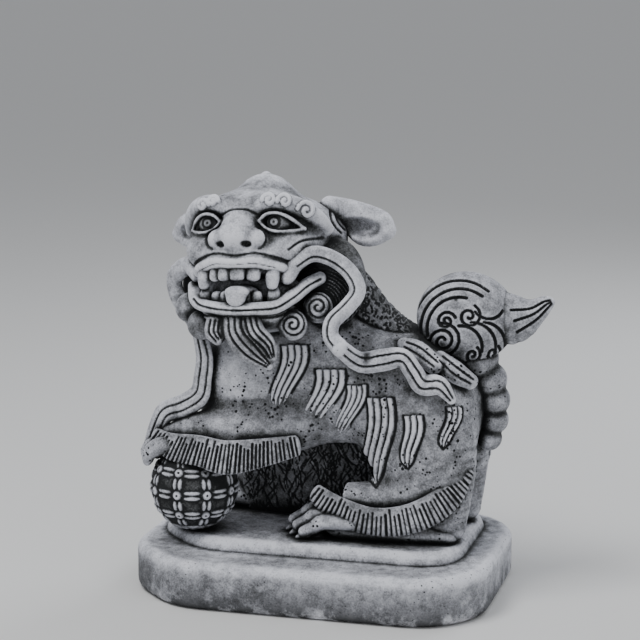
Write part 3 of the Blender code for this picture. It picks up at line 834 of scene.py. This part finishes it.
UPPER_LIP = [
    (-31, -34, -16, 3.4, 3), (-26, -40.5, -14, 3.8, 3.2), (-14, -45.5, -10.8, 4, 3.5),
    (0, -47.5, -11.6, 3.4, 3.5), (13, -46, -10.8, 4, 3.5), (25, -41.5, -13, 3.6, 3.2),
    (32, -35, -15, 3, 3),
]
LOWER_LIP = [
    (-40, -22, -24, 4, 4), (-33, -34, -32, 4, 4), (-26, -40, -36, 4, 4), (-14, -44, -38.5, 4, 4),
    (0, -45.5, -39.5, 4, 4), (14, -44, -39, 4, 4), (25, -40, -37.5, 4.2, 4), (33, -33, -31, 4.5, 4),
    (39, -27, -24, 4.5, 4), (45, -20, -19, 4, 4),
]
BEARD = [
    [(-15, -41, -46, 6, 4), (-15, -43, -53, 6, 4), (-12, -42, -58, 4, 3)],
    [(-2, -41, -44, 8, 5), (0, -42, -54, 8, 5), (8, -39, -64, 8, 5), (18, -34, -73, 3, 3)],
    [(8, -40, -44, 7, 5), (11, -40, -53, 7, 5), (18, -36, -61, 6, 4), (20, -33, -68, 3, 3)],
]
UPPER_LID = [
    (13, -41, 14.5, 1.0, 1.4), (18, -41.6, 18.6, 1.1, 1.6), (25, -40.2, 19.4, 1.1, 1.6),
    (32, -36, 16.2, 1.3, 1.6), (38, -29, 10.5, 1.0, 1.3),
]
LOWER_LID = [
    (13, -41, 14.5, 1.0, 1.4), (18, -40.8, 9.8, 1.1, 1.4), (25, -39.3, 8.2, 1.1, 1.4),
    (32, -35, 8.5, 1.4, 1.5), (38, -29, 10.5, 1.0, 1.5),
]
# Each jaw curl: its place on the head, half its breadth and half its depth.
JAW_CURLS = [((31, -28, -48), 9.5, 7), ((44, -20, -37), 9.5, 7)]


def make_face():
    clay = head_box((-58, -56, -34), (58, 54, 56))
    clay.add(head_blob(0, 6, 8, (49, 41, 29)))
    clay.add(head_blob(0, -14, 4, (42, 27, 23)), 10)
    clay.add(head_tube([(0, -4, 24, 24, 24), (0, -5, 38, 10, 10), (0, -5, 46, 3.5, 3.5)]), 8)
    clay.add(head_blob(0, -24, -6, (33, 23, 12)), 8)
    clay.add(head_blob(0, -35.5, -5, (29, 12, 8.5)), 6)
    clay.add(head_blob(0, -22, 25, (31, 18, 11)), 8)
    for out in (1, -1):
        clay.add(head_blob(28 * out, -29, -2, (13, 12, 11)), 7)
        clay.add(head_tube([
            (9 * out, -38, 22, 4, 4), (20 * out, -39, 26, 5.5, 5), (33 * out, -32, 24, 6, 5),
            (43 * out, -22, 18, 5, 4), (47 * out, -14, 11, 4, 3),
        ]), 5)
        clay.cut(head_blob(23 * out, -40, 14.5, (10.5, 6, 6)), 3)
    clay.add(head_tube([(0, -36, 20, 10, 7), (0, -41, 13, 11, 8), (0, -44, 6, 13, 9)]), 5)
    clay.add(head_blob(0, -48, 4.5, (9, 6, 6.5)), 4)
    for out in (1, -1):
        clay.add(head_blob(13 * out, -44, 3.5, (6.5, 6, 6)), 3)
        clay.cut(head_blob(8.8 * out, -50.5, 0, (3.2, 4.5, 2.0)), 1)
        for lid in (UPPER_LID, LOWER_LID):
            clay.add(head_tube([(x * out, *rest) for x, *rest in lid]), 1)
    clay.add(head_tube(UPPER_LIP), 1.2)
    face = Part("skull_and_face", clay,
                ["head", "nose", "brow_left", "brow_right", "crown_knob"], "head_stone")
    muzzle = np.linalg.norm(face.points - head(0, -44, -4), axis=1)
    face.tint += 0.20 * (1.0 - eased_step(8.0, 22.0, muzzle))
    # Painted shade in the sockets round the eyes.
    for out in (1, -1):
        socket = np.linalg.norm(face.points - head(24 * out, -36, 14), axis=1)
        face.tint -= 0.16 * (1.0 - eased_step(9.0, 17.0, socket))


def make_eye(side, out):
    place = head(22 * out, -31, 14)
    clay = Clay(place - 12, place + 12, STEP * FINE)
    clay.add(head_blob(22.5 * out, -32.2, 14, (8.8, 8.6, 8.2)))
    Part("eyeball_" + side, clay, ["eye_" + side], "eyes")


def make_ear(side, out):
    low, high = sorted((28 * out, 86 * out))
    clay = head_box((low, -4, -2), (high, 38, 42))
    clay.add(head_tube([
        (36 * out, 12, 26, 9, 7), (48 * out, 16, 24, 9, 8), (58 * out, 19, 20, 10, 8),
        (68 * out, 20, 19, 7, 7), (73 * out, 20, 14, 5, 5),
    ]))
    clay.add(head_tube([
        (46 * out, 16, 20, 6, 5), (56 * out, 18, 9, 5, 5), (66 * out, 19, 8, 4, 4), (73 * out, 20, 12, 4, 4),
    ]), 3)
    clay.cut(head_blob(57 * out, 10, 14, (14, 8, 6.5)), 2)
    Part("ear_with_hollow_" + side, clay, ["ear_" + side], "head_stone")


def make_jaw():
    jaw = head_box((-52, -54, -60), (52, 24, -6))
    jaw.add(head_blob(0, -20, -42, (33, 24, 11)))
    jaw.add(head_tube(LOWER_LIP), 3)
    jaw.cut(head_blob(0, -32, -28, (25, 13, 8.5)), 1)
    Part("lower_jaw_and_lip", jaw, ["lower_jaw"], "head_stone")


def make_mouth():
    mouth = head_box((-36, -44, -44), (36, 0, -6))
    mouth.add(head_blob(0, -18, -26, (32, 17, 13)))
    upper = head_box((-24, -54, -30), (24, -34, -8))
    for x, y, width in ((-14.5, -44.5, 3.4), (-7.2, -46.3, 4.2), (2, -47, 5.2), (12, -45.3, 4.9)):
        upper.add(head_tube([
            (x, y + 1, -12, width, 2.6), (x, y, -19.5, width, 2.4), (x, y + 0.3, -20.5, width * 0.8, 1.8),
        ]))
    lower = head_box((-24, -54, -44), (24, -32, -24))
    for x, y, width in ((-14.5, -41, 3.6), (-8.2, -42.3, 3.2), (-1, -42.8, 3.4), (6, -42.6, 3.4),
                        (13, -41.6, 3.6)):
        lower.add(head_tube([
            (x, y + 1, -38, width, 2.4), (x, y, -31, width, 2.2), (x, y + 0.4, -29.5, width * 0.8, 1.6),
        ]))
    tongue = head_box((-14, -58, -42), (16, -14, -18))
    tongue.add(head_blob(2, -38, -28, (9, 12, 3.5)))
    tongue.add(head_blob(2, -47, -29, (8.2, 4, 3.5)), 2)
    tongue.add(head_blob(2, -48, -33, (6.4, 3, 5.5)), 3)
    Part("mouth_lining_with_upper_teeth", merged(upper, mouth), ["upper_teeth"], "teeth")
    Part("lower_incisors", lower, ["lower_teeth"], "teeth")
    Part("tongue_tip", tongue, ["tongue"], "head_stone")


UPPER_FANG = [(23, -38, -12, 5, 4.5), (23, -41, -19, 4.8, 4.2), (23, -41.5, -24.5, 3.6, 3)]
LOWER_FANG = [(23, -36, -38, 4.8, 4), (23, -38, -31, 4.4, 3.8), (23, -38.5, -27, 3, 2.6)]


def make_fangs(side, out):
    for kind, fang in (("upper", UPPER_FANG), ("lower", LOWER_FANG)):
        tube = head_tube([(x * out, *rest) for x, *rest in fang])
        one_tube("%s_canine_%s" % (kind, side), tube, "%s_fang_%s" % (kind, side), "teeth", 4)


def make_head():
    make_face()
    for side, out in SIDES:
        make_eye(side, out)
        make_ear(side, out)
    make_jaw()
    make_mouth()
    for side, out in SIDES:
        make_fangs(side, out)


def merged(clay, other):
    """Both clays on one lattice that holds them."""
    low = np.minimum(clay.first, other.first)
    high = np.maximum(clay.first + clay.d.shape, other.first + other.d.shape)
    both = Clay((0, 0, 0), (0, 0, 0), clay.step)
    both.first, both.d = low, np.full(high - low, FAR, np.float32)
    for part in (clay, other):
        start = part.first - low
        here = tuple(slice(a, a + n) for a, n in zip(start, part.d.shape))
        both.d[here] = np.minimum(both.d[here], part.d)
    return both


def make_head_hair():
    beard = head_box((-30, -56, -88), (34, -14, -42))
    for rows in BEARD:
        beard.add(head_tube(rows), 2)
    Part("beard_locks", beard, ["beard"], "carved_hair")
    for side, out in SIDES:
        middle_place = head(34 * out, -25, -44)
        curl = Clay(middle_place - 24, middle_place + 24)
        for (x, y, z), breadth, depth in JAW_CURLS:
            curl.add(head_blob(x * out, y, z, (breadth, depth, breadth)), 2)
        Part("jaw_spirals_" + side, curl, ["jaw_curl_" + side], "carved_hair")
        low, high = sorted((26 * out, 76 * out))
        hair = head_box((low, -26, -62), (high, 22, 14))
        hair.add(head_blob(45, -2, -20, (22, 17, 28)) if out > 0 else head_blob(-38, 0, -20, (20, 16, 26)))
        Part("cheek_hair_fan_" + side, hair, ["cheek_hair_" + side], "dark_hair")


def make_mane():
    ridge = Clay((-30, -18, 104), (92, 44, 196))
    ridge.add(Tube([
        ((-6, 14, 168), 14, 14), ((14, 13, 155), 21, 13), ((33, 11, 136), 20, 11),
        ((54, 9, 125), 15, 8), ((72, 8, 123), 9, 6),
    ], (0, 0, 1)))
    Part("back_mane_ridge", ridge, ["back_mane"], "dark_hair")


# ---- carving


def carve(name, work, mirror=False, facing=0.0):
    drawing = Drawing(BY_NAME[name], mirror, facing)
    work(drawing)
    drawing.press()


# Mane locks of one flank: x and z of the top, x and z of the point, y, breadth, strands.
FLANK_LOCKS = [
    (-8, 122, -19, 80, -31, 17, 4), (15, 108, 0, 66, -31, 19, 4), (32, 99, 21, 66, -31, 13, 4),
    (48, 93, 46, 36, -36, 17, 4), (69, 83, 66, 49, -36, 12, 3), (95, 90, 88, 63, -36, 10, 3),
]


def carve_flank(d):
    down = np.linspace(0.0, 1.0, 8)
    for x_top, z_top, x_point, z_point, y, breadth, strands in FLANK_LOCKS:
        (top_a, top_b), (point_a, point_b) = drawn([(x_top, y, z_top), (x_point, y, z_point)])
        sway = 0.10 * breadth * np.sin(2 * math.pi * down)
        middle_a = top_a + (point_a - top_a) * down**1.4 + sway
        b = top_b + (point_b - top_b) * down
        half = breadth / 2 * np.sqrt(np.clip(1.0 - down**3, 0.0, 1.0))
        d.lock(np.stack([middle_a - half, b], 1), np.stack([middle_a + half, b], 1), strands)


def fringe_cuts(stations, count):
    """Grooves from the upper edge of a fringe past its lower edge."""
    def work(d):
        d.fan(along(stations, 0.75), along(stations, -1.2), count, 0.95, 1.5)
    return work


# Arcs on the tail curl in shares of its radius: centre, radius, start and end angle.
TAIL_ARCS = [
    (0.0, 0.0, 0.90, 205, 48), (0.0, -0.04, 0.76, 200, 52), (-0.02, -0.08, 0.62, 195, 75),
    (0.02, -0.52, 0.46, 95, -8), (0.26, -0.50, 0.52, 92, -12), (0.50, -0.46, 0.50, 88, -20),
    (0.62, 0.48, 0.34, 215, 330),
]
# Spirals on it: centre, radius, turns, start angle, way of winding.
TAIL_SPIRALS = [
    (-0.34, -0.38, 0.37, 2.2, 100, -1), (-0.28, 0.04, 0.20, 1.5, 20, 1),
    (0.20, 0.16, 0.25, 1.5, 60, -1),
    (0.30, -0.64, 0.18, 1.4, 60, -1), (0.76, -0.58, 0.18, 1.4, 60, -1),
]


def carve_tail(d):
    def place(x, z):
        return drawn([by_tail(x, -0.75, z)])[0]

    for x, z, radius, start, end in TAIL_ARCS:
        d.groove(arc(place(x, z), radius * TAIL_RADIUS, start, end), 1.25, 1.8, 3)
    for x, z, radius, turns, start, way in TAIL_SPIRALS:
        d.spiral((place(x, z), radius * TAIL_RADIUS, turns, start, way), 1.2, 1.8)


def lengthwise(bands, shares, width=0.9, depth=1.3):
    """Grooves that run along each band, at these shares of its breadth."""
    def work(d):
        for stations in bands:
            for share in shares:
                d.groove(along(stations, share), width, depth)
    return work


# Rolls of the brows: place on the head, radius, start angle, way of winding.
BROW_CURLS = [
    (19, -40, 27, 4.2, 180, -1), (28, -37, 26.5, 4.4, 180, -1), (39, -29, 21.5, 5.6, 170, -1),
    (-19, -40, 27, 3.4, 0, 1), (-27, -37, 25, 3.6, 0, 1),
]


def carve_face(d):
    for x, y, z, radius, start, way in BROW_CURLS:
        d.coil((drawn([head(x, y, z)])[0], radius, 1.25, start, way), 1.3, 1.5)
    d.groove(drawn([head(-13, -42, 18), head(-5, -43, 21.5), head(5, -43, 21.5), head(13, -42, 18)]))
    for start, end, wing in ((-70, 75, 13), (110, 245, -13)):
        d.groove(arc(drawn([head(wing, -46, 3.5)])[0], 6.8, start, end))
    lip = head_stations(UPPER_LIP)
    d.groove(along(lip, 1.35))
    d.groove(along(lip[1:-1], -0.35), 0.6, 0.6)
    d.groove(drawn([head(31, -36, -3), head(38, -31, 3), head(47, -22, 6)]), 1.2, 1.0)
    for radius in (9.0, 12.5, 16.0):
        d.groove(arc(drawn([head(58, 4, 24)])[0], radius, 150, 235), 1.2, 1.2, 3)


def carve_jaw(d):
    d.groove(along(head_stations(LOWER_LIP)[1:], -0.25), 1.0, 1.3)
    d.groove(along(head_stations(LOWER_LIP)[2:-2], -1.4), 1.0, 1.0)


def carve_jaw_curls(d):
    for place, breadth, _ in JAW_CURLS:
        d.spiral((drawn([head(*place)])[0], breadth * 0.9, 2.0, 100, -1), 0.9, 1.3)


def carve_cheek(d):
    centre = drawn([head(*JAW_CURLS[1][0])])[0]
    for radius in np.arange(9.0, 27.0, 2.0):
        d.groove(arc(centre, radius, -30, 115), 0.9, 1.4, 3)


def ring_eye(eye, centre):
    """A ring cut round the pupil of an eye that looks ahead."""
    ahead = HEAD_TURN @ np.array([0.0, -1.0, 0.0])
    facing = (eye.points - centre) @ ahead
    off_axis = np.linalg.norm(eye.points - centre - facing[:, None] * ahead, axis=1)
    ring = 1.0 - eased_step(0.2, 1.3, np.abs(off_axis - 3.6))
    pupil = 1.0 - eased_step(0.2, 1.1, off_axis)
    eye.press(np.where(facing > 0, 0.8 * ring + 0.7 * pupil, 0.0))


def scattered(d, seed, area):
    """Random places on a piece, one to each area in square millimetres."""
    chance = np.random.RandomState(seed)
    low_a, high_a = d.a.min(), d.a.max()
    low_b, high_b = d.b.min(), d.b.max()
    for _ in range(int((high_a - low_a) * (high_b - low_b) / area)):
        yield chance, chance.uniform(low_a, high_a), chance.uniform(low_b, high_b)


def scratches(d):
    """Fine random hair that leans and crosses."""
    for chance, a, b in scattered(d, 5, 14):
        lean = chance.normal(0.0, 0.45)
        length = chance.uniform(5, 14)
        bend = chance.normal(0.0, 1.2)
        half_way = (a + lean * length / 2 + bend, b - length / 2)
        d.groove([(a, b), half_way, (a + lean * length, b - length)], 0.6, chance.uniform(0.4, 0.9), 2)


def stipple(d):
    """The stippled hair of the ridge: short random dents."""
    for chance, a, b in scattered(d, 9, 5):
        end = (a + chance.normal(0, 0.9), b - chance.uniform(0.3, 2.2))
        d.groove([(a, b), end], 0.9, chance.uniform(0.4, 1.0), 1)


def carve_all():
    flipped_fringe = [(flip(point), breadth, depth) for point, breadth, depth in FRILL_RIGHT_FRONT]
    beard = [head_stations(rows) for rows in BEARD]
    tip = lengthwise([TAIL_TIP[1:]], (0.35, -0.10, -0.55), 1.1, 1.6)
    for side, out in SIDES:
        mirror = out < 0
        carve("trunk", carve_flank, mirror)
        carve("hind_leg_and_thigh_" + side, carve_flank, mirror)
        carve("fringe_hind_" + side, fringe_cuts(FRILL_HIND, 40), mirror, -0.3)
        carve("tail_spirals", carve_tail, mirror)
        carve("tail_flame", tip, mirror)
        ring_eye(BY_NAME["eyeball_" + side], head(22.5 * out, -32.2, 14))
    carve("fringe_front_left", fringe_cuts(FRILL_LEFT_FRONT, 38), False, -0.3)
    carve("fringe_front_right", fringe_cuts(flipped_fringe, 14), True, -0.3)
    carve("skull_and_face", carve_face)
    carve("lower_jaw_and_lip", carve_jaw)
    carve("beard_locks", lengthwise(beard, (-0.5, 0.0, 0.5)))
    carve("jaw_spirals_left", carve_jaw_curls)
    carve("cheek_hair_fan_left", carve_cheek)
    carve("silk_loop_left", lengthwise([LOOP_LEFT[1:]], (-0.45,), 0.9, 1.0))
    carve("silk_end_left", lengthwise([END_LEFT], (0.4, -0.4)))
    carve("silk_end_right", lengthwise([END_RIGHT], (0.35, -0.35), 0.9, 1.0))
    carve("rump_folds", lengthwise(RUMP_FOLDS, (0.4, -0.25)))
    carve("belly_hair_wall", scratches)
    carve("back_mane_ridge", stipple, False, -0.5)


# ---- stone


class Nodes:
    """Short names for the nodes of one material."""

    def __init__(self, name):
        self.material = bpy.data.materials.new(name)
        self.material.use_nodes = True
        self.tree = self.material.node_tree
        self.shader = self.tree.nodes["Principled BSDF"]
        self.place = self.new("ShaderNodeTexCoord").outputs["Object"]

    def new(self, kind, **settings):
        node = self.tree.nodes.new(kind)
        for key, value in settings.items():
            setattr(node, key, value)
        return node

    def link(self, source, socket):
        self.tree.links.new(source, socket)

    def noise(self, scale, detail=4.0, roughness=0.6):
        node = self.new("ShaderNodeTexNoise")
        self.link(self.place, node.inputs["Vector"])
        node.inputs["Scale"].default_value = scale
        node.inputs["Detail"].default_value = detail
        node.inputs["Roughness"].default_value = roughness
        return node.outputs["Fac"]

    def feed(self, socket, value):
        """Gives a socket a number, a colour or another node's output."""
        if isinstance(value, tuple):
            socket.default_value = (*value, 1.0)
        elif isinstance(value, (int, float)):
            socket.default_value = value
        else:
            self.link(value, socket)

    def math(self, operation, a, b=0.0, clamp=False):
        node = self.new("ShaderNodeMath", operation=operation, use_clamp=clamp)
        self.feed(node.inputs[0], a)
        self.feed(node.inputs[1], b)
        return node.outputs[0]

    def spread(self, value, low, high, to_low=0.0, to_high=1.0):
        node = self.new("ShaderNodeMapRange", clamp=True)
        self.link(value, node.inputs["Value"])
        for key, number in (("From Min", low), ("From Max", high), ("To Min", to_low), ("To Max", to_high)):
            node.inputs[key].default_value = number
        return node.outputs["Result"]

    def ramp(self, value, stops):
        node = self.new("ShaderNodeValToRGB")
        self.link(value, node.inputs["Fac"])
        elements = node.color_ramp.elements
        while len(elements) < len(stops):
            elements.new(0.5)
        for element, (position, colour) in zip(elements, stops):
            element.position = position
            element.color = (*colour, 1.0)
        return node.outputs["Color"]

    def mix(self, factor, a, b):
        node = self.new("ShaderNodeMix", data_type="RGBA")
        self.link(factor, node.inputs[0])
        self.feed(node.inputs[6], a)
        self.feed(node.inputs[7], b)
        return node.outputs[2]


BLACK = (0.012, 0.013, 0.014)
SHADE = (0.075, 0.078, 0.080)
MIDTONE = (0.24, 0.245, 0.265)
PALE = (0.56, 0.57, 0.62)
# The palest colour, for rubbed edges and painted highlight.
RUBBED_AND_HIGHLIT = (0.84, 0.85, 0.91)


def cast_stone(name, openness=0.0, pinholes=0.5, grime=0.0, roughness=0.85):
    """Cast stone with a black wash and painted light: the attribute 'open' runs from painted shade in creases
    to painted highlight on rubbed edges.
    """
    n = Nodes(name)
    attribute = n.new("ShaderNodeAttribute", attribute_name="open").outputs["Fac"]
    patches = n.noise(28.0, 3.0, 0.55)
    mottle = n.noise(160.0, 4.0, 0.65)
    grain = n.noise(900.0, 3.0, 0.7)
    value = n.math("ADD", attribute, openness)
    value = n.math("ADD", value, n.spread(patches, 0.3, 0.7, -0.13, 0.13))
    value = n.math("ADD", value, n.spread(mottle, 0.3, 0.7, -0.14, 0.14))
    value = n.math("ADD", value, n.spread(grain, 0.25, 0.75, -0.16, 0.16), True)
    # The ramp runs from black wash with painted shade, through the stone's own tones, to pale rubbed stone
    # with painted highlight.
    colour = n.ramp(value, [(0.10, BLACK), (0.30, SHADE), (0.52, MIDTONE), (0.74, PALE), (0.95, RUBBED_AND_HIGHLIT)])

    pits = n.new("ShaderNodeTexVoronoi", feature="F1")
    n.link(n.place, pits.inputs["Vector"])
    pits.inputs["Scale"].default_value = 330.0
    pit_size = n.spread(n.noise(60.0, 2.0), 0.38, 0.66, 0.02, 0.36 * pinholes + 0.02)
    pit = n.math("SUBTRACT", pit_size, pits.outputs["Distance"])
    pit = n.spread(pit, 0.0, 0.06)
    # The pinholes are painted black: painted shade inside them, together with the dark wash.
    colour = n.mix(pit, colour, BLACK)
    if grime:
        height = n.new("ShaderNodeSeparateXYZ")
        n.link(n.place, height.inputs[0])
        low = n.spread(height.outputs["Z"], 0.001, 0.026, grime, 0.0)
        stain = n.math("MULTIPLY", low, n.spread(n.noise(38.0, 6.0, 0.75), 0.33, 0.52), True)
        colour = n.mix(stain, colour, BLACK)
    n.link(colour, n.shader.inputs["Base Color"])
    n.shader.inputs["Roughness"].default_value = roughness
    n.shader.inputs["Specular IOR Level"].default_value = 0.35

    bump = n.new("ShaderNodeBump")
    bump.inputs["Strength"].default_value = 0.8
    bump.inputs["Distance"].default_value = 0.0008
    rough = n.math("ADD", n.spread(grain, 0.2, 0.8, 0.0, 0.35), n.spread(mottle, 0.2, 0.8, 0.0, 0.65))
    n.link(n.math("SUBTRACT", rough, n.math("MULTIPLY", pit, 1.2)), bump.inputs["Height"])
    n.link(bump.outputs["Normal"], n.shader.inputs["Normal"])
    return n.material


def make_looks():
    return {
        "plinth": cast_stone("cast stone of the plinth", 0.02, 0.45, 1.0),
        "ball": cast_stone("cast stone of the ball", -0.12, 0.3),
        "body_stone": cast_stone("cast stone of the body", -0.02, 1.0),
        "head_stone": cast_stone("cast stone of the head", 0.10, 0.3),
        "teeth": cast_stone("cast stone of the teeth", -0.02, 0.2),
        "eyes": cast_stone("cast stone of the eyes", -0.24, 0.1, 0.0, 0.55),
        "carved_hair": cast_stone("cast stone of the carved hair", 0.0, 0.3),
        "dark_hair": cast_stone("cast stone under the dark wash", -0.22, 0.6),
        "ribbon": cast_stone("cast stone of the ribbon", 0.06, 0.2),
    }


# ---- objects


def wash_wear_and_painted_light(part, solid):
    """From 0, black wash and painted shade in a crease, to 1, a pale rubbed edge and painted highlight."""
    # Painted shade in creases and between parts, from the occlusion through the clay, together with the dark
    # wash.
    values = 0.95 * occlusion_for_painted_shade(part.points, part.normals, solid) - 0.34
    # Painted highlight on ridges and painted shade in small hollows, from how far each place stands out.
    values += 0.50 * np.clip(part.convexity(4), -0.5, 0.5)
    values += 0.13 * np.clip(part.convexity(24), -1.5, 1.5)
    # Raised relief is painted paler and carved grooves darker: rubbed stone and dark wash, with painted
    # highlight and painted shade.
    values += 0.07 * part.rubbed_and_highlit - 0.15 * np.clip(part.carved, 0.0, 2.0) + part.tint
    return np.clip(values, 0.0, 1.1)


def build_object(part, solid, looks):
    count = len(part.points)
    mesh = bpy.data.meshes.new(part.name)
    mesh.vertices.add(count)
    mesh.loops.add(part.faces.size)
    mesh.polygons.add(len(part.faces))
    mesh.vertices.foreach_set("co", ((part.points + ORIGIN) * MM).ravel())
    mesh.loops.foreach_set("vertex_index", part.faces.ravel().astype(np.int32))
    mesh.polygons.foreach_set("loop_start", (np.arange(len(part.faces)) * 4).astype(np.int32))
    mesh.update(calc_edges=True)
    mesh.shade_smooth()
    # The 'open' value carries the dark wash with painted shade, and the rubbed paleness with painted
    # highlight.
    values = wash_wear_and_painted_light(part, solid)
    attribute = mesh.attributes.new("open", "FLOAT", "POINT")
    attribute.data.foreach_set("value", values.astype(np.float32))
    obj = bpy.data.objects.new(part.name, mesh)
    bpy.context.scene.collection.objects.link(obj)
    mesh.materials.append(looks[part.slot])
    thinning = obj.modifiers.new("thinning", "DECIMATE")
    thinning.ratio = KEPT_SHARE
    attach(obj, "root")
    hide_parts(*part.nodes)
    return obj


# ---- camera and light


def look_at(obj, target):
    direction = Vector(target) - obj.location
    obj.rotation_euler = direction.to_track_quat("-Z", "Y").to_euler()


# The camera fitted to the plinth's edges: lens, angles in degrees, place in millimetres.
LENS = 112.5
AZIMUTH, PITCH = 15.3, 10.2
DISTANCE, HEIGHT = 1244.2, 394.0
FOOT_SHIFT = 3.0


def make_camera():
    """A long lens from the display side, a little towards the tail and above."""
    low, high = corners("plinth")
    foot = (low + high) / 2
    data = bpy.data.cameras.new("camera")
    data.lens = LENS
    data.sensor_width = 36.0
    data.clip_start = 0.01
    camera = bpy.data.objects.new("camera", data)
    azimuth, pitch = math.radians(AZIMUTH), math.radians(PITCH)
    camera.location = (
        (foot[0] - FOOT_SHIFT + DISTANCE * math.sin(azimuth)) * MM,
        (foot[1] - DISTANCE * math.cos(azimuth)) * MM,
        HEIGHT * MM,
    )
    camera.rotation_euler = (math.pi / 2 - pitch, 0.0, azimuth)
    bpy.context.scene.collection.objects.link(camera)
    bpy.context.scene.camera = camera


def area_light(name, place, target, size, power, colour=(1, 1, 1)):
    data = bpy.data.lights.new(name, "AREA")
    data.size, data.energy, data.color = size, power, colour
    light = bpy.data.objects.new(name, data)
    light.location = place
    look_at(light, target)
    bpy.context.scene.collection.objects.link(light)


def make_studio():
    mesh = bpy.data.meshes.new("floor")
    reach = FAR
    mesh.from_pydata([(-reach, -reach, 0), (reach, -reach, 0), (reach, reach, 0), (-reach, reach, 0)],
                     [], [(0, 1, 2, 3)])
    floor = bpy.data.objects.new("floor", mesh)
    bpy.context.scene.collection.objects.link(floor)
    paint = bpy.data.materials.new("pale floor")
    paint.use_nodes = True
    shader = paint.node_tree.nodes["Principled BSDF"]
    shader.inputs["Base Color"].default_value = (0.80, 0.80, 0.79, 1.0)
    shader.inputs["Roughness"].default_value = 0.9
    mesh.materials.append(paint)
    world = bpy.data.worlds.new("studio")
    world.use_nodes = True
    world.node_tree.nodes["Background"].inputs["Color"].default_value = (0.86, 0.88, 0.92, 1.0)
    world.node_tree.nodes["Background"].inputs["Strength"].default_value = 0.46
    bpy.context.scene.world = world
    target = (0.0, 0.0, 0.13)
    area_light("key", (-0.45, -0.55, 1.35), target, 0.6, 11.0)
    area_light("fill", (0.9, -0.9, 0.6), target, 1.0, 2.5)
    area_light("back", (0.5, 0.9, 0.9), target, 0.7, 5.0, (0.92, 0.95, 1.0))


# ---- assembly

make_base()
make_ball()
torso = torso_clay()
make_trunk(torso)
make_left_foreleg(torso)
make_right_foreleg(torso)
for side, _ in SIDES:
    make_hind_leg(torso, side)
make_belly_wall()
make_frills()
make_tail()
make_ribbons()
make_head()
make_head_hair()
make_mane()
BY_NAME = {part.name: part for part in PARTS}
# The hair's own darker tone, with painted shade added: more on the far right flank, inside the mouth and at
# the tail's root.
HAIR_TONE_AND_PAINTED_SHADE = {
    "cheek_hair_fan_left": 0.16, "cheek_hair_fan_right": 0.20, "jaw_spirals_left": 0.10,
    "jaw_spirals_right": 0.14, "beard_locks": 0.08, "tail_root": 0.10, "mouth_lining_with_upper_teeth": 0.04,
}
for name, shade in HAIR_TONE_AND_PAINTED_SHADE.items():
    BY_NAME[name].tint -= shade
carve_all()
solid = whole_clay([part.clay for part in PARTS], (-132, -100, -42), (164, 100, 240))
looks = make_looks()
for part in PARTS:
    build_object(part, solid, looks)
make_camera()
make_studio()
